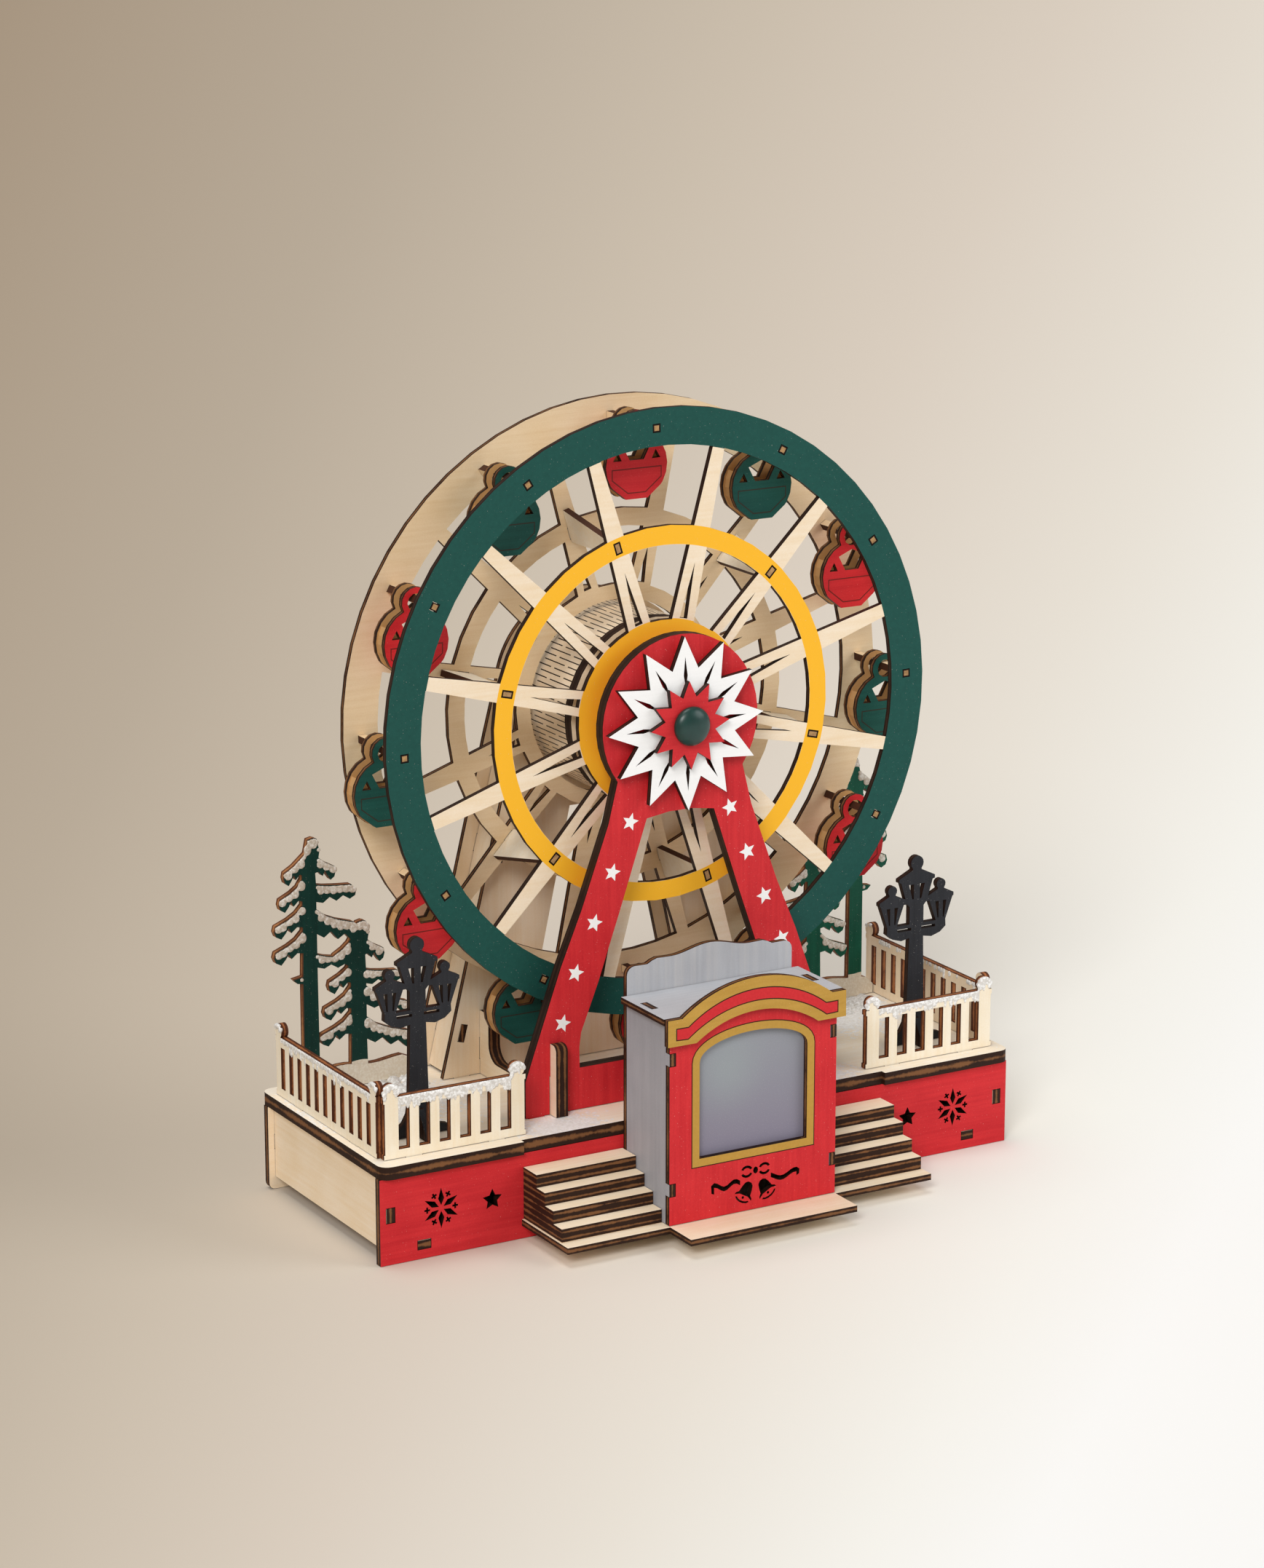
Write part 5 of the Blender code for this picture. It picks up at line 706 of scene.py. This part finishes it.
def outline_piece(name, outline, face, materials):
    """A filled outline in front of a board, left in edit mode with its face selected."""
    bpy.ops.object.select_all(action="DESELECT")
    bpy.ops.mesh.primitive_circle_add(vertices=len(outline), radius=0.01, fill_type="NGON")
    piece = bpy.context.object
    piece.name = name
    for corner, (x, z) in zip(piece.data.vertices, outline):
        corner.co = (x, face, z)
    for material in materials:
        piece.data.materials.append(material)
    bpy.ops.object.mode_set(mode="EDIT")
    bpy.ops.mesh.select_all(action="SELECT")
    return piece


def stripe(piece, width, slot):
    """Insets the selected face, so that a stripe stays behind, and gives the rest a finish."""
    bpy.ops.mesh.inset(thickness=width)
    piece.active_material_index = slot
    bpy.ops.object.material_slot_assign()


def thicken(piece, body):
    """Gives the outline its thickness, closes edit mode and tells what carries the piece."""
    bpy.ops.mesh.select_all(action="SELECT")
    bpy.ops.mesh.extrude_region_move(TRANSFORM_OT_translate={"value": (0, COAT, 0)})
    bpy.ops.mesh.select_all(action="SELECT")
    bpy.ops.mesh.normals_make_consistent(inside=False)
    bpy.ops.object.mode_set(mode="OBJECT")
    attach(piece, body)


# %% [markdown]
# Five little white stars climb each leg of the front frame. They lean with the leg, by about
# 17 degrees.

# %% Stars on the front frame
STAR_REACH = 0.0043
STAR_WAIST = 0.45
LEG_LEAN = 17
STAR_PLACES = ((0.026, 0.1767), (0.0353, 0.1546), (0.0446, 0.1325), (0.0542, 0.1106),
               (0.061, 0.0881))
for side, word in ((-1, "left"), (1, "right")):
    for step, (x, z) in enumerate(STAR_PLACES, 1):
        outline = []
        for corner in range(10):
            reach = STAR_REACH * (STAR_WAIST if corner % 2 else 1.0)
            angle = math.radians(36 * corner - side * LEG_LEAN)
            outline.append((side * x + reach * math.sin(angle), z + reach * math.cos(angle)))
        star = outline_piece(f"little_star_{word}_{step}", outline, FRAME_FRONT - PROUD,
                             [white_coat])
        thicken(star, "frame")
print("little stars:", 2 * len(STAR_PLACES), "reach in mm:", STAR_REACH * 1000)

# %% [markdown]
# The window of the booth has a gold frame 3.6 mm wide, with an engraved line round it. The
# opening's own outline, a box under a shallow ellipse, is grown by the frame's width. Insets
# then leave the engraved line and the gold, and what is left inside is deleted.

# %% Window frame
WINDOW_HALF = 0.028
WINDOW_SILL = 0.038
WINDOW_SPRING = 0.0828
WINDOW_RISE = 0.0104


def window_outline(grow):
    """The booth window's outline, grown all round."""
    points = [(WINDOW_HALF + grow, WINDOW_SILL - grow)]
    for step in range(13):
        angle = math.radians(90 * step / 12)
        right, up = math.cos(angle), math.sin(angle)
        outward = Vector((right / WINDOW_HALF, up / WINDOW_RISE)).normalized() * grow
        points.append((WINDOW_HALF * right + outward.x,
                       WINDOW_SPRING + WINDOW_RISE * up + outward.y))
    return points + [(-x, z) for x, z in reversed(points[:-1])]


trim = outline_piece("window_gold_frame", window_outline(0.0040), BOOTH_FRONT - PROUD,
                     [engraving, gold_coat])
stripe(trim, 0.00045, 1)
bpy.ops.mesh.inset(thickness=0.0036)
bpy.ops.mesh.delete(type="FACE")
thicken(trim, "frame")
print("window frame corners:", len(trim.data.vertices))

# %% [markdown]
# The crown of the booth is gold with a red band in its middle. The band follows both arches
# of the crown and ends square near its ears. Its engraved outline is the stripe that the
# inset leaves.

# %% Red band on the crown
def arch(radius, centre, end, steps):
    """The right half of an arch, from its end to its top."""
    sweep = math.asin(end / radius)
    points = []
    for step in range(steps + 1):
        angle = sweep * (1 - step / steps)
        points.append((radius * math.sin(angle), centre + radius * math.cos(angle)))
    return points


BAND_END = 0.0419
ARCH_STEPS = 14
upper = [(BAND_END, 0.1015)] + arch(0.0579, 0.0558, 0.0356, ARCH_STEPS)
lower = [(BAND_END, 0.0958)] + arch(0.0581, 0.0497, 0.0357, ARCH_STEPS)
half_band = lower[::-1] + upper
outline = half_band[1:] + [(-x, z) for x, z in reversed(half_band[:-1])]
band = outline_piece("crown_red_band", outline, CROWN_FRONT - PROUD, [engraving, red_coat])
stripe(band, 0.0005, 1)
thicken(band, "frame")
print("band corners:", len(band.data.vertices))

# %% [markdown]
# The knob on the axle is a turned wooden button. Its half outline, a flat back, a short rim
# and a dome, is spun once round the axle, with many more steps than the solid model has.

# %% Knob
RIM_DEPTH = 0.0010
BACK_BEVEL = 0.0003
DOME_CORNERS = 24
low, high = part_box("knob")
reach = (high[0] - low[0]) / 2
depth = high[1] - low[1]
bpy.ops.object.select_all(action="DESELECT")
bpy.ops.mesh.primitive_circle_add(vertices=DOME_CORNERS + 2, radius=reach)
knob = bpy.context.object
knob.name = "turned_green_knob"
bpy.ops.object.mode_set(mode="EDIT")
bpy.ops.mesh.select_all(action="SELECT")
bpy.ops.mesh.delete(type="EDGE_FACE")
bpy.ops.object.mode_set(mode="OBJECT")
corners = knob.data.vertices
corners[0].co = (0, high[1], AXLE)
corners[1].co = (reach - BACK_BEVEL, high[1], AXLE)
for step in range(DOME_CORNERS):
    angle = math.radians(90 * step / (DOME_CORNERS - 1))
    forward = RIM_DEPTH + (depth - RIM_DEPTH) * math.sin(angle)
    corners[step + 2].co = (reach * math.cos(angle), high[1] - forward, AXLE)
bpy.ops.object.mode_set(mode="EDIT")
bpy.ops.mesh.select_all(action="DESELECT")
bpy.ops.object.mode_set(mode="OBJECT")
for corner in range(DOME_CORNERS + 1):
    corners[corner].select = True
    corners[corner + 1].select = True
    bpy.ops.object.mode_set(mode="EDIT")
    bpy.ops.mesh.edge_face_add()
    bpy.ops.mesh.select_all(action="DESELECT")
    bpy.ops.object.mode_set(mode="OBJECT")
bpy.ops.object.mode_set(mode="EDIT")
bpy.ops.mesh.select_all(action="SELECT")
bpy.ops.mesh.spin(steps=64, angle=math.tau, center=(0, 0, AXLE), axis=(0, 1, 0))
bpy.ops.mesh.select_all(action="SELECT")
bpy.ops.mesh.remove_doubles(threshold=0.00001)
bpy.ops.mesh.normals_make_consistent(inside=False)
bpy.ops.object.mode_set(mode="OBJECT")
bpy.ops.object.shade_smooth_by_angle(angle=math.radians(40))
lacquer = plain_paint("green_lacquered_beech", ("15403A", "0F2F2B"), 0.34, 260, 0.5)
knob.data.materials.append(lacquer)
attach(knob, "wheel")
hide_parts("knob")
print("knob across in mm:", round(reach * 2000, 1), "faces:", len(knob.data.polygons))

# %% [markdown]
# ## Dabs of snow
#
# A brush leaves dabs: flat round lumps that run together, with a scalloped lower edge. One
# lump is modelled and copied along the upper edges of a board. Rays that fall from above
# find those edges, however the board is cut. A voxel remesh then melts the lumps of a board
# into one skin.

# %% Snow maker
DAB_STEP = 0.0008
FINE = 0.00035
COARSE = 0.0005
dice = random.Random(11)
bpy.ops.object.select_all(action="DESELECT")
bpy.ops.mesh.primitive_ico_sphere_add(subdivisions=2, radius=1.0, location=(0, 0, 0))
lump = bpy.context.object
lump.name = "snow_lump"
bpy.ops.object.mode_set(mode="EDIT")
bpy.ops.mesh.select_all(action="SELECT")
bpy.ops.transform.vertex_random(offset=0.06, seed=3)
bpy.ops.object.mode_set(mode="OBJECT")


def top_edges(node, x, y):
    """Where a falling line meets a board from above, and how much wood is under each place."""
    board = nodes[node]
    levels = []
    start = 0.4
    upper = None
    while True:
        hit, point, normal, _ = board.ray_cast((x, y, start), (0, 0, -1))
        if not hit:
            return levels
        if normal.z > 0.1:
            upper = point.z
        elif normal.z < -0.1 and upper:
            levels.append((upper, upper - point.z))
            upper = None
        start = point.z - 0.00005


def melt(name, dabs, voxel, finish, rounds=0):
    """Copies the lump to every dab and melts the copies into one skin of snow."""
    bpy.ops.object.select_all(action="DESELECT")
    for place, size in dabs:
        mesh = lump.data.copy()
        turn = Matrix.Identity(4)
        if size[0] == size[2]:
            turn = Matrix.Rotation(dice.uniform(0, 6), 4, "Y")
        mesh.transform(Matrix.Translation(place) @ Matrix.Diagonal((*size, 1)) @ turn)
        copy = bpy.data.objects.new(name, mesh)
        scene.collection.objects.link(copy)
        copy.select_set(True)
    bpy.context.view_layer.objects.active = copy
    bpy.ops.object.join()
    skin = bpy.context.object
    skin.name = name
    melted = skin.modifiers.new("melt", "REMESH")
    melted.mode = "VOXEL"
    melted.voxel_size = voxel
    bpy.ops.object.modifier_apply(modifier="melt")
    if rounds:
        calm = skin.modifiers.new("calm", "SMOOTH")
        calm.factor = 0.5
        calm.iterations = rounds
        bpy.ops.object.modifier_apply(modifier="calm")
    bpy.ops.object.shade_smooth()
    skin.data.materials.clear()
    skin.data.materials.append(finish)
    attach(skin, "frame")
    print(name, "dabs:", len(dabs), "faces:", len(skin.data.polygons))
    return skin


# %% [markdown]
# On the firs the snow is a glaze with glitter in it, painted a beige-grey darker than the
# fences' snow: partly the glaze's own tint and partly painted shade. It lies on the front of
# each branch, just under its upper edge, about half as deep as the branch. Flat dabs 3.3 mm
# apart make the scallops, and small ones fill the gaps between them along the edge.

# %% Snow on the firs
BANK = 0.0575
EDGE_DAB = (0.0011, 0.00042, 0.0011)
# Partly painted shade: the firs' snow is a darker beige-grey than the fences' snow.
glaze_and_painted_shade = snow_finish("glitter_snow_glaze", 0.5, ("CBBFAF", "EDE9E2"), 0.4, 0.0002)
for word in ("left", "right"):
    node = f"trees_{word}"
    low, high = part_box(node)
    middle = (low[1] + high[1]) / 2
    face = low[1]
    dabs = []
    count = 0
    x = low[0] + 0.0014
    while x < high[0] - 0.0014:
        for z, wood in top_edges(node, x, middle):
            if z < BANK + 0.004 or wood < 0.0030:
                continue
            dabs.append(((x, face, z - 0.0012), EDGE_DAB))
            if count % 4 == 0 and wood > 0.0042:
                deep = min(wood * 0.62, dice.uniform(0.0042, 0.0054))
                inward = min(max(x, low[0] + 0.0024), high[0] - 0.0024)
                dabs.append(((inward, face, z - 0.0003 - deep / 2), (0.0021, 0.00058, deep / 2)))
        x += DAB_STEP
        count += 1
    melt(f"snow_on_firs_{word}", dabs, FINE, glaze_and_painted_shade, 5)

# %% [markdown]
# On the fences the snow lies on the top rail and the balls. It hangs over the front in
# uneven drips, and on the side fence at the right there are only crumbs.

# %% Snow on the fences
RAIL_TOP = 0.0772
BALL_DAB = (0.0011, 0.0011, 0.0010)


def dab_fence(node, axis, share, drip):
    """Dabs along a fence's top rail, on its face towards the camera and round its balls."""
    low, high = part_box(node)
    side = 1 - axis
    middle = (low[side] + high[side]) / 2
    face = low[side]
    dabs = []
    run = low[axis] + 0.0006
    while run < high[axis] - 0.0005:
        spot = [0.0, 0.0]
        spot[axis], spot[side] = run, middle
        for z, _ in top_edges(node, *spot)[:1]:
            if dice.random() > share:
                continue
            spot[side] = face
            wide = dice.uniform(0.0009, 0.0014)
            size = [wide, wide, wide * 1.1]
            size[side] = 0.0005
            dabs.append(((spot[0], spot[1], z - wide * 0.9), size))
            if dice.random() < drip:
                hang = dice.uniform(0.002, 0.0062)
                slim = dice.uniform(0.0007, 0.0012)
                size = [slim, slim, hang * 0.5]
                size[side] = 0.00045
                dabs.append(((spot[0], spot[1], z - hang * 0.62), size))
            if z > RAIL_TOP:
                back = (spot[1] + middle) / 2 if side == 1 else spot[1]
                dabs.append(((spot[0], back, z - 0.0008), BALL_DAB))
        run += DAB_STEP
    melt(f"snow_on_{node}", dabs, FINE, snow)


dab_fence("fence_front_left", 0, 1.0, 0.75)
dab_fence("fence_front_right", 0, 1.0, 0.5)
dab_fence("fence_side_left", 1, 0.9, 0.15)
dab_fence("fence_side_right", 1, 0.25, 0.1)

# %% [markdown]
# A little loose snow lies in heaps behind the fences, against the bank of the firs and beside
# the booth. Each heap is a scatter of flattened lumps on the deck.

# %% Heaps on the deck
HEAP_BACK = 0.0705
LUMPS = 70
for word, middle, front in (("left", -0.125, 0.052), ("right", 0.121, 0.050)):
    dabs = []
    for _ in range(LUMPS):
        x = middle + dice.uniform(-0.030, 0.030)
        y = dice.uniform(front, HEAP_BACK)
        size = dice.uniform(0.0010, 0.0026)
        rise = 0.0007 + 0.0022 * max(0.0, (y - front) / (HEAP_BACK - front))
        dabs.append(((x, y, DECK_TOP), (size * 1.4, size * 1.2, rise)))
    melt(f"snow_heap_{word}", dabs, COARSE, snow)
bpy.ops.object.select_all(action="DESELECT")
bpy.data.objects.remove(lump)

# %% [markdown]
# What isn't wood is plain: a steel axle, plastic for the motor, the battery box and the
# switch, a lit board, and a sheet of frosted acrylic behind the window. The acrylic scatters
# what is behind it, and that light is painted into it: soft greys that turn from green at the
# top to violet at the sill, with a lighter painted patch of light near the top. Its frost is
# drawn as specks half a millimetre wide, coarser than etched acrylic.

# %% Steel, plastics and acrylic
PANE_FRONT = FRONT - 0.0379
PLAIN_PARTS = (("axle", "drawn_steel", "B9BCC2", 0.32, 1.0),
               ("gear_motor", "grey_moulded_abs", "8E9196", 0.5, 0.0),
               ("battery_box", "grey_moulded_abs_case", "8E9196", 0.5, 0.0),
               ("switch_slider", "black_moulded_abs", "232428", 0.45, 0.0),
               ("booth_lamp_board", "white_circuit_board", "E9E6DA", 0.5, 0.0))
for part, name, code, rough, metal in PLAIN_PARTS:
    material, tree, shader = blank(name, rough, metal, 0.5)
    coords = put(tree, "TexCoord")
    cloud = put(tree, "TexNoise", None,
                {"Vector": coords.outputs["Object"], "Scale": 140, "Detail": 2.0})
    mix = put(tree, "Mix", {"data_type": "RGBA"},
              {"Factor": cloud, "A": linear(code),
               "B": [0.86 * v for v in linear(code)[:3]] + [1.0]})
    tree.links.new(mix.outputs["Result"], shader.inputs["Base Color"])
    dress([part], material)
pane, tree, shader = blank("frosted_acrylic_pane", 0.42)
coords = put(tree, "TexCoord")
spot = put(tree, "SeparateXYZ", None, [coords.outputs["Object"]])
lift = put(tree, "MapRange", None, {"Value": spot.outputs["Z"], "From Min": 0.04, "From Max": 0.09})
fade = put(tree, "Mix", {"data_type": "RGBA"},
           {"Factor": lift, "A": linear("878294"), "B": linear("94979F")})
# Painted light: a lighter patch near the top, a little left of the middle.
glow = put(tree, "VectorMath", {"operation": "DISTANCE"},
           [coords.outputs["Object"], (-0.012, PANE_FRONT, 0.076)])
near = put(tree, "MapRange", {"interpolation_type": "SMOOTHSTEP"},
           {"Value": glow, "From Min": 0.026, "From Max": 0.0, "To Max": 0.5})
soft = put(tree, "Mix", {"data_type": "RGBA"}, {"Factor": near, "A": fade, "B": linear("9BA6A8")})
haze = put(tree, "TexNoise", None,
           {"Vector": coords.outputs["Object"], "Scale": 2200, "Detail": 1.0})
speck = put(tree, "MapRange", None,
            {"Value": haze, "From Min": 0.6, "From Max": 0.75, "To Max": 0.25})
frost = put(tree, "Mix", {"data_type": "RGBA"}, {"Factor": speck, "A": soft, "B": linear("B9BEC4")})
tree.links.new(frost.outputs["Result"], shader.inputs["Base Color"])
dress(["booth_pane"], pane)
